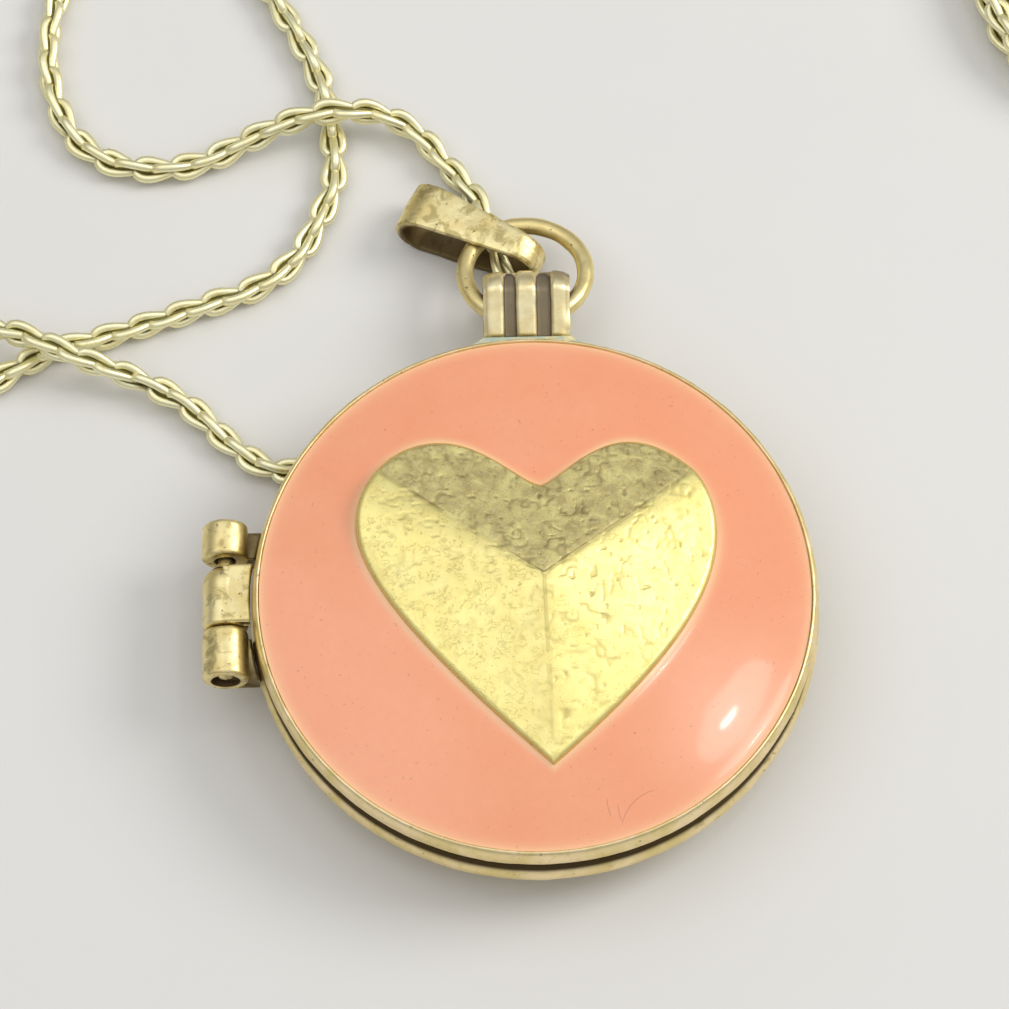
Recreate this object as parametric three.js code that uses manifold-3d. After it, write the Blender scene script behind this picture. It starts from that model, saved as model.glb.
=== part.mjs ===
// A round photo locket on a woven chain, lying on its back with its front up.
// Millimetres, +Z up through the front, +Y towards the bail, hinge on the -X side.
// The origin is the centre of the flat rest face on the locket's back.
import * as THREE from "three";
import { mergeVertices } from "three/addons/utils/BufferGeometryUtils.js";
import Module from "manifold-3d";

const wasm = await Module();
wasm.setup();

// ---- Driving dimensions ----
const LOCKET_R = 16; // outside of both rolled rims
const REST_R = 9; // flat face in the middle of the back
const CUP_R = 15.03; // outside of the two cups, where the rims are soldered on
const CAVITY_R = 14; // inside of both cups
const RIM_LOW = 2.3; // underside of the back rim
const PART_LOW = 4.1; // top of the back half
const PART_HIGH = 4.35; // bottom of the cover half
const RIM_TOP = 6.15; // top of the front rim
const GROOVE_WAIST = 15.2; // bottom of the groove between the two rims
const ENAMEL_R = 15.46;
const ENAMEL_EDGE = 6.0; // enamel surface where it meets the front rim
const ENAMEL_RISE = 1.3; // how far the enamel domes up at the centre
const FIT = 0.02; // soldered or bedded faces
const LATHE_STEPS = 56;

const PHOTO_R = 12.9;
const FRAME_R = 13.1;
const FRAME_OPENING_R = 11.7;

// The heart's outline: each half is Bezier runs from the cleft over a lobe to its shoulder,
// where the flat top facet ends, and then round the side and down to the tip.
const HEART_CLEFT = [0.42, 5.95];
const HEART_TIP = [0.74, -10.67];
const HEART_RIGHT = [
  [1.2, 6.0, 3.2, 8.75, 5.4, 8.75],
  [6.9, 8.75, 8.2, 7.7, 9.15, 6.65],
  [10.0, 5.5, 10.35, 4.0, 10.2, 2.5],
  [9.9, -0.5, 8.0, -4.5, ...HEART_TIP],
];
const HEART_LEFT = [
  [-0.7, 6.15, -2.6, 8.85, -5.2, 8.95],
  [-6.6, 9.0, -7.9, 8.3, -8.8, 7.1],
  [-9.6, 6.1, -10.05, 5.0, -9.95, 3.6],
  [-9.8, 0.9, -7.0, -3.5, ...HEART_TIP],
];
const HEART_SHOULDER_Y = 6.65;
const HEART_EASE_Y = 0.5; // the side facets' edge starts to rise here
const HEART_APEX = new THREE.Vector3(0.45, -0.1, 9.0);
const HEART_TOP_SLOPE = 0.225; // the top facet is flat, and falls this much per mm
const HEART_WALL = 0.32; // how far its edge stands above the enamel

const HINGE_X = -17.4;
const HINGE_Z = 4.22;
const KNUCKLE_R = 1.3;
const PIN_R = 0.42;
const PIN_BORE_R = 0.47;

const RING_MIDDLE_R = 3.5;
const RING_WIRE_R = 0.5;
const RING_SLOPE = THREE.MathUtils.degToRad(12.6); // the ring leans down away from the locket
const RING_SWING = THREE.MathUtils.degToRad(30); // how far it can be lifted from there
const RING_PIVOT_Y = 18;
const RING_PIVOT_Z = 3.75;

const BAIL_LENGTH = 8.7;
const BAIL_HEIGHT = 3.4;
const BAIL_WALL = 0.45;
const BAIL_WIDE = 2.8;
const BAIL_NARROW = 1.2;
const BAIL_TIP = new THREE.Vector2(0.95, 22.45); // the narrow end, inside the ring
const BAIL_TURN = THREE.MathUtils.degToRad(153.3); // heading of the bail from its tip, from +X

const CHAIN_D = 1.4;
const CHAIN_SIDES = 8;
const JOIN_GAP = 0.3; // between two stretches of chain, or a stretch and its end cap
const COIL_CENTRE = new THREE.Vector2(36.8, 41.3);
const COIL_OUTER_R = 9.5;
const COIL_TURNS_ACROSS = 3;
const COIL_LAYERS = 2;

const CLASP_X = 14.2; // middle of the clasp
const CLASP_Y = 47.9;
const CLASP_Z = 1.4;

const BRASS = { color: 0xc9b26a, roughness: 0.42, metalness: 1 };
const DARK_BRASS = { color: 0x8f8048, roughness: 0.55, metalness: 1 };
const CHAIN_GOLD = { color: 0xe0cf8a, roughness: 0.35, metalness: 1 };
const CORAL_ENAMEL = { color: 0xf0a487, roughness: 0.2, metalness: 0 };
const PHOTO_PAPER = { color: 0xd9cdb4, roughness: 0.8, metalness: 0 };
const CLEAR_WINDOW = { color: 0xe8eeee, roughness: 0.1, metalness: 0 };
const STEEL = { color: 0xa9a9a4, roughness: 0.4, metalness: 1 };

const locket = new THREE.Group();

// ---- Shared makers ----
function add(name, geometry, finish, parent = locket) {
  const mesh = new THREE.Mesh(geometry, new THREE.MeshStandardMaterial(finish));
  mesh.name = name;
  parent.add(mesh);
}

// A solid of revolution about +Z from [radius, height] points, outside going up.
function turned(profile, steps = LATHE_STEPS) {
  const points = profile.map(([r, z]) => new THREE.Vector2(r, z));
  return new THREE.LatheGeometry(points, steps).rotateX(Math.PI / 2);
}

function solidOf(geometry) {
  const bare = geometry.index ? geometry.toNonIndexed() : geometry.clone();
  bare.deleteAttribute("normal");
  bare.deleteAttribute("uv");
  const merged = mergeVertices(bare, 1e-4);
  return new wasm.Manifold(
    new wasm.Mesh({
      numProp: 3,
      vertProperties: merged.attributes.position.array,
      triVerts: new Uint32Array(merged.index.array),
    }),
  );
}

function geometryOf(solid) {
  const { vertProperties, triVerts } = solid.getMesh();
  const geometry = new THREE.BufferGeometry();
  geometry.setAttribute("position", new THREE.BufferAttribute(vertProperties, 3));
  geometry.setIndex(new THREE.BufferAttribute(triVerts, 1));
  geometry.computeVertexNormals();
  return geometry;
}

// A plain slab of a shape, from one height to another.
function slab(shape, from, to, curveSegments = 10) {
  const geometry = new THREE.ExtrudeGeometry(shape, {
    depth: to - from,
    bevelEnabled: false,
    curveSegments,
  });
  return geometry.translate(0, 0, from);
}

// A shape drawn in the Y, Z plane and drawn out along X.
function slabAlongX(shape, from, to) {
  const geometry = slab(shape, from, to);
  return geometry.applyMatrix4(
    new THREE.Matrix4().makeBasis(
      new THREE.Vector3(0, 1, 0),
      new THREE.Vector3(0, 0, 1),
      new THREE.Vector3(1, 0, 0),
    ),
  );
}

function rodAlongY(radius, from, to, x, z, sides = 20) {
  const rod = new THREE.CylinderGeometry(radius, radius, to - from, sides);
  return rod.translate(x, (from + to) / 2, z);
}

function block(x0, x1, y0, y1, z0, z1) {
  const box = new THREE.BoxGeometry(x1 - x0, y1 - y0, z1 - z0);
  return box.translate((x0 + x1) / 2, (y0 + y1) / 2, (z0 + z1) / 2);
}

// The rounded outside of a rolled rim, bottom to top: it swells from one waist to the full
// radius and back to the other waist.
function rimBulge(low, high, lowWaist, highWaist, steps = 8) {
  const points = [];
  for (let i = 0; i <= steps; i++) {
    const turn = -Math.PI / 2 + (Math.PI * i) / steps;
    const waist = turn < 0 ? lowWaist : highWaist;
    points.push([
      waist + (LOCKET_R - waist) * Math.cos(turn),
      (low + high) / 2 + ((high - low) / 2) * Math.sin(turn),
    ]);
  }
  return points;
}

function enamelTop(r) {
  return ENAMEL_EDGE + ENAMEL_RISE * (1 - (r / ENAMEL_R) ** 2);
}

// The front plate runs under the enamel, thinner in the middle than the enamel itself.
function plateTop(r) {
  return 5.58 + 1.02 * (1 - (r / CUP_R) ** 2);
}

// ---- The back half ----
function backShell() {
  const outside = [[0, 0]];
  const steps = 7;
  for (let i = 0; i <= steps; i++) {
    const r = REST_R + ((CUP_R - REST_R) * i) / steps;
    outside.push([r, (RIM_LOW + 0.05) * (i / steps) ** 1.6]);
  }
  const inside = [
    [CUP_R, PART_LOW],
    [CAVITY_R, PART_LOW],
    [CAVITY_R, 2.0],
    [12.2, 2.0],
    [10.5, 0.9],
    [0, 0.9],
  ];
  return turned([...outside, ...inside]);
}

function backRim() {
  const inner = CUP_R + FIT;
  const bulge = rimBulge(RIM_LOW, PART_LOW, 15.4, GROOVE_WAIST);
  return turned([[inner, RIM_LOW], ...bulge, [inner, PART_LOW], [inner, RIM_LOW]]);
}

// ---- The cover half ----
function frontCover() {
  const under = [];
  const over = [];
  const steps = 6;
  for (let i = 0; i <= steps; i++) {
    const r = (CUP_R * i) / steps;
    over.unshift([r, plateTop(r)]);
  }
  for (let i = 0; i <= steps; i++) {
    const r = (12.4 * i) / steps;
    under.push([r, plateTop(r) - 0.55]);
  }
  const wall = [
    [12.4, 5.15],
    [CAVITY_R, 5.15],
    [CAVITY_R, PART_HIGH],
    [CUP_R, PART_HIGH],
  ];
  return turned([...under, ...wall, ...over]);
}

function frontRim() {
  const inner = CUP_R + FIT;
  const seat = ENAMEL_R + 0.04;
  const bulge = rimBulge(PART_HIGH, RIM_TOP, GROOVE_WAIST, 15.55);
  return turned([
    [inner, PART_HIGH],
    ...bulge,
    [seat, RIM_TOP - 0.03],
    [seat, 5.62],
    [inner, 5.62],
    [inner, PART_HIGH],
  ]);
}

function coralEnamel() {
  const under = [];
  const over = [];
  const steps = 7;
  for (let i = 0; i <= steps; i++) {
    const r = (14.9 * i) / steps;
    under.push([r, plateTop(r) + 0.06]);
    over.unshift([(ENAMEL_R * i) / steps, enamelTop((ENAMEL_R * i) / steps)]);
  }
  return turned([...under, [ENAMEL_R, 5.66], ...over]);
}

function heartHalf(runs) {
  const path = new THREE.Path();
  path.moveTo(...HEART_CLEFT);
  for (const run of runs) path.bezierCurveTo(...run);
  return path.getPoints(5);
}

// Height of the heart's edge: on the flat top facet above the shoulders, and below them
// easing down to a low wall round the sides.
function heartEdge(p) {
  const flat = HEART_APEX.z - HEART_TOP_SLOPE * (p.y - HEART_APEX.y);
  const low = enamelTop(p.length()) + HEART_WALL;
  const rise = (p.y - HEART_EASE_Y) / (HEART_SHOULDER_Y - HEART_EASE_Y);
  return low + (flat - low) * THREE.MathUtils.clamp(rise, 0, 1) ** 2;
}

function heartRelief() {
  const outline = [...heartHalf(HEART_RIGHT), ...heartHalf(HEART_LEFT).reverse().slice(1, -1)];
  const base = 6.2;
  const count = outline.length;
  const corners = [];
  for (const p of outline) corners.push(p.x, p.y, base);
  for (const p of outline) corners.push(p.x, p.y, heartEdge(p));
  corners.push(...HEART_APEX.toArray(), HEART_APEX.x, HEART_APEX.y, base);
  const apex = 2 * count;
  const faces = [];
  for (let i = 0; i < count; i++) {
    const j = (i + 1) % count;
    faces.push(i, i + count, j, j, i + count, j + count);
    faces.push(i + count, apex, j + count);
    faces.push(j, apex + 1, i);
  }
  const geometry = new THREE.BufferGeometry();
  geometry.setAttribute("position", new THREE.Float32BufferAttribute(corners, 3));
  geometry.setIndex(faces);
  const bed = [[0, 5], [ENAMEL_R, 5]];
  for (let i = 8; i >= 0; i--) {
    const r = (ENAMEL_R * i) / 8;
    bed.push([r, enamelTop(r) + FIT]);
  }
  return geometryOf(solidOf(geometry).subtract(solidOf(turned(bed))));
}

// ---- Photo, window and retaining frame of one half ----
function disc(radius, from, to) {
  return turned([[0, from], [radius, from], [radius, to], [0, to]], 40);
}

function photoFrame(from, to) {
  const middle = (from + to) / 2;
  return turned(
    [
      [FRAME_OPENING_R, from],
      [FRAME_R, from],
      [FRAME_R, middle],
      [FRAME_R - 0.35, to],
      [FRAME_OPENING_R + 0.35, to],
      [FRAME_OPENING_R, middle],
      [FRAME_OPENING_R, from],
    ],
    40,
  );
}

// ---- Hinge ----
// A knuckle is a tube round the pin with a leaf that runs to the rim of its own half.
function knuckle(from, to, leafLow, leafHigh) {
  const leaf = block(HINGE_X, -15.2, from + 0.25, to - 0.25, leafLow, leafHigh);
  const rimSpace = turned([[0, -1], [LOCKET_R + FIT, -1], [LOCKET_R + FIT, 9], [0, 9]], 112);
  const bore = rodAlongY(PIN_BORE_R, from - 1, to + 1, HINGE_X, HINGE_Z);
  return geometryOf(
    solidOf(rodAlongY(KNUCKLE_R, from, to, HINGE_X, HINGE_Z))
      .add(solidOf(leaf))
      .subtract(solidOf(rimSpace))
      .subtract(solidOf(bore)),
  );
}

// ---- The ribbed loop that carries the jump ring ----
// Each rib is a hairpin in the Y, Z plane, with a straight neck down to the foot.
function hairpin(radius) {
  const roundY = 19.3;
  const neckY = 16.77;
  const neckHalf = radius - 0.75;
  const shape = new THREE.Shape();
  shape.moveTo(neckY, 3.25 - neckHalf);
  shape.absarc(roundY, RING_PIVOT_Z, radius, -Math.PI / 2, Math.PI / 2, false);
  shape.lineTo(neckY, 3.25 + neckHalf);
  shape.closePath();
  return shape;
}

// The way through the loop: the ring's own path, fanned out over its swing.
function ringSpace() {
  const clear = RING_WIRE_R + 0.12;
  const reach = 1.07;
  const fan = new THREE.Shape();
  const low = -RING_SLOPE;
  const high = RING_SWING - RING_SLOPE;
  const at = (turn) => [RING_PIVOT_Y + reach * Math.cos(turn), RING_PIVOT_Z + reach * Math.sin(turn)];
  fan.absarc(...at(low), clear, low - Math.PI / 2, low, false);
  fan.absarc(...at(high), clear, high, high + Math.PI / 2, false);
  fan.absarc(RING_PIVOT_Y, RING_PIVOT_Z, clear, high + Math.PI / 2, low + (3 * Math.PI) / 2, false);
  fan.closePath();
  return slabAlongX(fan, -4, 4);
}

function ribbedLoop() {
  const ribs = [[-2.5, -1.25], [-0.65, 0.62], [1.35, 2.5]];
  let body = solidOf(slabAlongX(hairpin(1.35), ribs[0][0] + 0.1, ribs[2][1] - 0.1));
  for (const [from, to] of ribs) body = body.add(solidOf(slabAlongX(hairpin(1.7), from, to)));
  return geometryOf(body.subtract(solidOf(ringSpace())));
}

// A saddle soldered to the back rim, flared wider than the loop.
function loopFoot() {
  const plan = new THREE.Shape();
  plan.moveTo(-3.4, 15.5);
  plan.lineTo(3.4, 15.5);
  plan.lineTo(3.1, 16.35);
  plan.lineTo(2.5, 16.75);
  plan.lineTo(-2.5, 16.75);
  plan.lineTo(-3.1, 16.35);
  plan.closePath();
  const rimSpace = turned([[0, 0], [LOCKET_R + FIT, 0], [LOCKET_R + FIT, 9], [0, 9]], 112);
  return geometryOf(solidOf(slab(plan, 2.4, 4.12)).subtract(solidOf(rimSpace)));
}

function jumpRing() {
  const ring = new THREE.TorusGeometry(RING_MIDDLE_R, RING_WIRE_R, 10, 36);
  const turn = new THREE.Matrix4().makeRotationX(-RING_SLOPE);
  ring.translate(0, RING_MIDDLE_R, 0).applyMatrix4(turn);
  return ring.translate(0, RING_PIVOT_Y, RING_PIVOT_Z);
}

// ---- The bail: one tapered strip folded into a long flat loop ----
function bail() {
  const outer = new THREE.Shape();
  const round = BAIL_HEIGHT / 2;
  outer.absarc(BAIL_LENGTH - round, round, round, -Math.PI / 2, Math.PI / 2, false);
  outer.absarc(round, round, round, Math.PI / 2, (3 * Math.PI) / 2, false);
  const inner = new THREE.Path();
  inner.absarc(BAIL_LENGTH - round, round, round - BAIL_WALL, -Math.PI / 2, Math.PI / 2, false);
  inner.absarc(round, round, round - BAIL_WALL, Math.PI / 2, (3 * Math.PI) / 2, false);
  outer.holes.push(inner);
  const loop = slab(outer, -2, 2, 9).rotateX(Math.PI / 2);
  const plan = new THREE.Shape();
  plan.moveTo(-1, -BAIL_NARROW / 2);
  plan.lineTo(BAIL_LENGTH + 1, -BAIL_WIDE / 2 - 0.1);
  plan.lineTo(BAIL_LENGTH + 1, BAIL_WIDE / 2 + 0.1);
  plan.lineTo(-1, BAIL_NARROW / 2);
  plan.closePath();
  const strip = solidOf(loop).intersect(solidOf(slab(plan, -1, 5)));
  return geometryOf(strip).rotateZ(BAIL_TURN).translate(BAIL_TIP.x, BAIL_TIP.y, 0.05);
}

// ---- The chain ----
// Its route from the bail, by hand: [x, y, z] with z left out where it lies on the table.
const TABLE_Z = CHAIN_D / 2;
const CHAIN_A = [
  [-1.7, 24.0, 1.22], [-2.1, 25.4, 1.2], [-2.6, 26.9, 1.0], [-3.4, 28.3, 0.8],
  [-4.7, 30.0, 0.75], [-6.1, 31.7, 0.95], [-7.9, 32.6, 1.5], [-9.9, 32.7, 2.1],
  [-11.9, 32.5, 2.2], [-14.1, 32.0, 1.8], [-16.4, 31.2, 1.1], [-18.8, 30.2],
  [-21.6, 29.8], [-24.1, 30.3], [-26.2, 31.9], [-27.4, 34.4], [-27.9, 37.8],
  [-27.4, 41.3], [-26.0, 44.3], [-22.6, 46.0], [-18.6, 45.8], [-16.0, 43.8],
  [-14.2, 40.6], [-12.6, 37.5], [-11.6, 34.8], [-11.1, 31.7], [-11.1, 28.6],
  [-12.0, 26.2], [-13.4, 23.7], [-15.7, 21.9], [-18.7, 20.8], [-21.7, 19.8],
  [-24.6, 18.9], [-27.5, 18.1], [-29.5, 17.1], [-31.6, 15.9], [-34.3, 16.0],
  [-36.1, 18.4], [-36.5, 22.5], [-36.5, 30], [-36.5, 38], [-36.1, 43.6],
  [-33.6, 48.2], [-29, 49.9], [-20, 50], [-8, 50.1], [3, 50.9], [12, 51.2], [21, 51], [31.4, 50.1],
];
const CHAIN_B = [
  [-1.6, 23.6, 1.22], [-1.25, 22.4, 1.15], [-0.9, 21.0, 0.9], [-0.65, 19.4, 0.72],
  [-0.9, 17.8], [-2.1, 16.0], [-4.1, 14.6], [-7.0, 13.0], [-9.9, 11.6], [-12.3, 10.5],
  [-14.2, 10.1], [-15.4, 10.5], [-16.6, 11.4], [-17.7, 12.4], [-18.8, 13.6, 0.75],
  [-20.3, 14.8, 0.9], [-21.9, 15.6, 1.15], [-23.6, 16.3, 1.5], [-25.3, 16.8, 1.95],
  [-27.0, 17.5, 2.2], [-28.8, 18.4, 2.2], [-30.6, 19.0, 1.9], [-32.6, 19.9, 1.3],
  [-34.0, 22.2, 0.8], [-34.5, 25.5], [-34.5, 33], [-34.5, 40], [-33.7, 44.4],
  [-31.0, 47.3], [-27, 47.9], [-18, 47.9], [-8, 47.9], [3.1, 47.9],
];
// From the coil's top layer down to the clasp.
const CHAIN_TAIL = [
  [26.9, 45.0, 2.0], [26.5, 46.3, 1.6], [25.2, 47.6, 0.95], [23.3, 47.9],
];

function routeOf(points) {
  const places = points.map(([x, y, z = TABLE_Z]) => new THREE.Vector3(x, y, z));
  return new THREE.CatmullRomCurve3(places, false, "centripetal");
}

// The stretch of a route between two shares of its length, as a curve of its own.
function stretchOf(route, from, to, count) {
  const places = [];
  for (let i = 0; i <= count; i++) places.push(route.getPointAt(from + ((to - from) * i) / count));
  return new THREE.CatmullRomCurve3(places, false, "centripetal");
}

function tubeAlong(path, steps) {
  const section = new THREE.Shape();
  for (let i = 0; i < CHAIN_SIDES; i++) {
    const turn = (2 * Math.PI * (i + 0.5)) / CHAIN_SIDES;
    const x = (CHAIN_D / 2) * Math.cos(turn);
    const y = (CHAIN_D / 2) * Math.sin(turn);
    if (i) section.lineTo(x, y);
    else section.moveTo(x, y);
  }
  section.closePath();
  return new THREE.ExtrudeGeometry(section, { steps, extrudePath: path, bevelEnabled: false });
}

// A strand that hangs between the bail and the table, then one that only lies there.
function strand(name, points, nearLength, nearSteps, farSteps) {
  const route = routeOf(points);
  const length = route.getLength();
  const split = nearLength / length;
  const gap = JOIN_GAP / length;
  const near = stretchOf(route, 0, split, nearSteps * 2);
  const far = stretchOf(route, split + gap, 1, farSteps * 2);
  add(`${name}_at_bail`, tubeAlong(near, nearSteps), CHAIN_GOLD);
  add(name, tubeAlong(far, farSteps), CHAIN_GOLD);
}

function chainCoil() {
  const inner = COIL_OUTER_R - COIL_TURNS_ACROSS * CHAIN_D;
  const height = COIL_LAYERS * CHAIN_D;
  const soft = 0.4;
  const profile = [
    [inner + soft, 0],
    [COIL_OUTER_R - soft, 0],
    [COIL_OUTER_R, soft],
    [COIL_OUTER_R, height - soft],
    [COIL_OUTER_R - soft, height],
    [inner + soft, height],
    [inner, height - soft],
    [inner, soft],
    [inner + soft, 0],
  ];
  return turned(profile, 32).translate(COIL_CENTRE.x, COIL_CENTRE.y, 0);
}

// ---- Chain ends and the lobster clasp ----
// An end cap glued on the chain, with a loop that stands up or lies flat.
function endCap(chainSide, loopSide, loopTurn) {
  const towards = Math.sign(loopSide - chainSide);
  const length = Math.abs(loopSide - chainSide);
  const barrel = new THREE.CylinderGeometry(0.95, 0.95, length, 14).rotateZ(Math.PI / 2);
  barrel.translate((chainSide + loopSide) / 2, CLASP_Y, 0.95);
  const loop = new THREE.TorusGeometry(0.75, 0.22, 8, 18).rotateX(loopTurn);
  loop.translate(loopSide + towards * 0.75, CLASP_Y, 1.45);
  return geometryOf(solidOf(barrel).add(solidOf(loop)));
}

// A closed ring that leans on the table and threads its neighbours at both ends.
function linkRing(x, middle, lean) {
  const wire = 0.3;
  const ring = new THREE.TorusGeometry(middle, wire, 8, 24).rotateX(lean);
  return ring.translate(x, CLASP_Y, middle * Math.sin(lean) + wire + 0.03);
}

// The clasp is drawn round its own middle, hook towards -X and mouth towards +Y.
const HOOK_X = -3.2;
const EYE_X = 3.4;
const LEVER_PIVOT = new THREE.Vector2(0.6, 0.55);
const RIVET_R = 0.25;

function ringSector(inner, outer, from, to) {
  const shape = new THREE.Shape();
  shape.absarc(HOOK_X, 0, outer, from, to, false);
  shape.absarc(HOOK_X, 0, inner, to, from, true);
  shape.closePath();
  return shape;
}

function drilled(radius, x, y) {
  const drill = new THREE.CylinderGeometry(radius, radius, 4, 18).rotateX(Math.PI / 2);
  return solidOf(drill.translate(x, y, 0));
}

function claspBody() {
  const hook = slab(ringSector(1.35, 2.3, 0.42 * Math.PI, 1.9 * Math.PI), -0.4, 0.4);
  const spine = block(-1.6, 3.2, -1.35, -0.55, -0.4, 0.4);
  const housing = block(0.1, 2.6, -1.15, 0.95, -0.75, 0.75);
  const tail = new THREE.CylinderGeometry(1.15, 1.15, 0.8, 22).rotateX(Math.PI / 2);
  const leverSlot = block(-0.5, 1.5, -0.6, 1.5, -0.32, 0.32);
  return geometryOf(
    solidOf(hook)
      .add(solidOf(spine))
      .add(solidOf(housing))
      .add(solidOf(tail.translate(EYE_X, 0, 0)))
      .subtract(solidOf(leverSlot))
      .subtract(drilled(0.6, EYE_X + 0.1, 0))
      .subtract(drilled(RIVET_R + FIT, LEVER_PIVOT.x, LEVER_PIVOT.y)),
  );
}

function claspLever() {
  const gate = slab(ringSector(1.45, 2.2, 0.1 * Math.PI, 0.4 * Math.PI), -0.28, 0.28);
  const arm = block(-1.4, LEVER_PIVOT.x, 0.15, 0.95, -0.28, 0.28);
  const heel = new THREE.CylinderGeometry(0.48, 0.48, 0.56, 18).rotateX(Math.PI / 2);
  const thumbTab = block(-0.9, -0.3, 0.8, 1.9, -0.28, 0.28);
  return geometryOf(
    solidOf(gate)
      .add(solidOf(arm))
      .add(solidOf(heel.translate(LEVER_PIVOT.x, LEVER_PIVOT.y, 0)))
      .add(solidOf(thumbTab))
      .subtract(drilled(RIVET_R + 0.04, LEVER_PIVOT.x, LEVER_PIVOT.y)),
  );
}

function claspRivet() {
  const rivet = new THREE.CylinderGeometry(RIVET_R, RIVET_R, 1.5, 16).rotateX(Math.PI / 2);
  return rivet.translate(LEVER_PIVOT.x, LEVER_PIVOT.y, 0);
}

// A small bent leaf in the floor of the lever's slot.
function claspSpring() {
  const leaf = new THREE.Shape();
  leaf.moveTo(0.2, -0.5);
  leaf.lineTo(1.35, -0.58);
  leaf.lineTo(1.42, -0.1);
  leaf.lineTo(1.3, -0.1);
  leaf.lineTo(1.24, -0.46);
  leaf.lineTo(0.2, -0.38);
  leaf.closePath();
  return slab(leaf, -0.22, 0.22);
}

// ---- Assembly ----
add("back_shell", backShell(), BRASS);
add("back_rim", backRim(), BRASS);
add("back_photo_card", disc(PHOTO_R, 2.05, 2.3), PHOTO_PAPER);
add("back_photo_window", disc(PHOTO_R, 2.35, 2.75), CLEAR_WINDOW);
add("back_photo_frame", photoFrame(2.8, 3.6), BRASS);
add("catch_ledge", block(13.3, 13.9, -1.4, 1.4, 2.6, 3.2), BRASS);
add("hinge_knuckle_upper", knuckle(3.04, 5.2, 2.45, 3.95), BRASS);
add("hinge_knuckle_lower", knuckle(-4.25, -1.3, 2.45, 3.95), BRASS);
add("hinge_pin", rodAlongY(PIN_R, -4.05, 5.1, HINGE_X, HINGE_Z), DARK_BRASS);
add("loop_foot", loopFoot(), DARK_BRASS);
add("ribbed_loop", ribbedLoop(), BRASS);

add("front_cover", frontCover(), DARK_BRASS);
add("front_rim", frontRim(), BRASS);
add("coral_enamel", coralEnamel(), CORAL_ENAMEL);
add("heart_relief", heartRelief(), BRASS);
add("front_photo_card", disc(PHOTO_R, 4.95, 5.1), PHOTO_PAPER);
add("front_photo_window", disc(PHOTO_R, 4.75, 4.92), CLEAR_WINDOW);
add("front_photo_frame", photoFrame(4.42, 4.72), BRASS);
add("catch_tongue", block(13.62, 13.9, -1.4, 1.4, 3.5, 5.1), BRASS);
add("hinge_knuckle_middle", knuckle(-1.18, 2.44, 4.6, 5.5), BRASS);

add("jump_ring", jumpRing(), BRASS);
add("bail", bail(), BRASS);

strand("chain_a", CHAIN_A, 9, 5, 42);
strand("chain_b", CHAIN_B, 8, 4, 34);
add("chain_coil", chainCoil(), CHAIN_GOLD);
add("chain_tail", tubeAlong(routeOf(CHAIN_TAIL), 5), CHAIN_GOLD);
add("end_cap_a", endCap(23.0, 21.2, 0), CHAIN_GOLD);
add("end_cap_b", endCap(3.4, 6.1, Math.PI / 2), CHAIN_GOLD);
add("end_ring_a", linkRing(CLASP_X + EYE_X + 1.5, 1.5, THREE.MathUtils.degToRad(70)), CHAIN_GOLD);
add("end_ring_b", linkRing(8.8, 1.9, THREE.MathUtils.degToRad(40)), CHAIN_GOLD);

const clasp = new THREE.Group();
clasp.position.set(CLASP_X, CLASP_Y, CLASP_Z);
add("clasp_body", claspBody(), CHAIN_GOLD, clasp);
add("clasp_lever", claspLever(), CHAIN_GOLD, clasp);
add("clasp_rivet", claspRivet(), STEEL, clasp);
add("clasp_spring", claspSpring(), STEEL, clasp);
locket.add(clasp);

export default locket;
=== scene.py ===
import math

import bpy
import numpy as np
from mathutils import Matrix, Vector


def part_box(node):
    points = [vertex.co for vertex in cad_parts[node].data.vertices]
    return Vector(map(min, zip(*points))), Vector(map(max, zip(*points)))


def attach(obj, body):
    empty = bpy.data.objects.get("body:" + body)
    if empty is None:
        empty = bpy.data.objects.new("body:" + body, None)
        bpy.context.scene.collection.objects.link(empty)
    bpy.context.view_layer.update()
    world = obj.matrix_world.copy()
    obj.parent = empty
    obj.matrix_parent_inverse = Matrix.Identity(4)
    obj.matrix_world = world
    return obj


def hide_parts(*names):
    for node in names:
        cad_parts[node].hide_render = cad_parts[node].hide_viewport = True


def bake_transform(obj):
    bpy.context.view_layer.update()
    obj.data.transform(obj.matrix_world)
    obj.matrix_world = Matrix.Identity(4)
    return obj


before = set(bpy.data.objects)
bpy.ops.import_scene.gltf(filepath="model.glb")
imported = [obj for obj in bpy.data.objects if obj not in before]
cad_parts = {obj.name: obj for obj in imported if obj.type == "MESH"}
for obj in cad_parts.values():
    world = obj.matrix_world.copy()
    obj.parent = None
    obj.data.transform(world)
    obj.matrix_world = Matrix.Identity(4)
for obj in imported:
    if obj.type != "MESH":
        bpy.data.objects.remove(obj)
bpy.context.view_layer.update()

# A round enamelled locket on a foxtail chain. Lengths are in millimetres up to make_mesh().
MM = 0.001


def low_high(node):
    """A CAD node's lowest and highest corners, in millimetres."""
    low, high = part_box(node)
    return np.array(low) / MM, np.array(high) / MM


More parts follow.
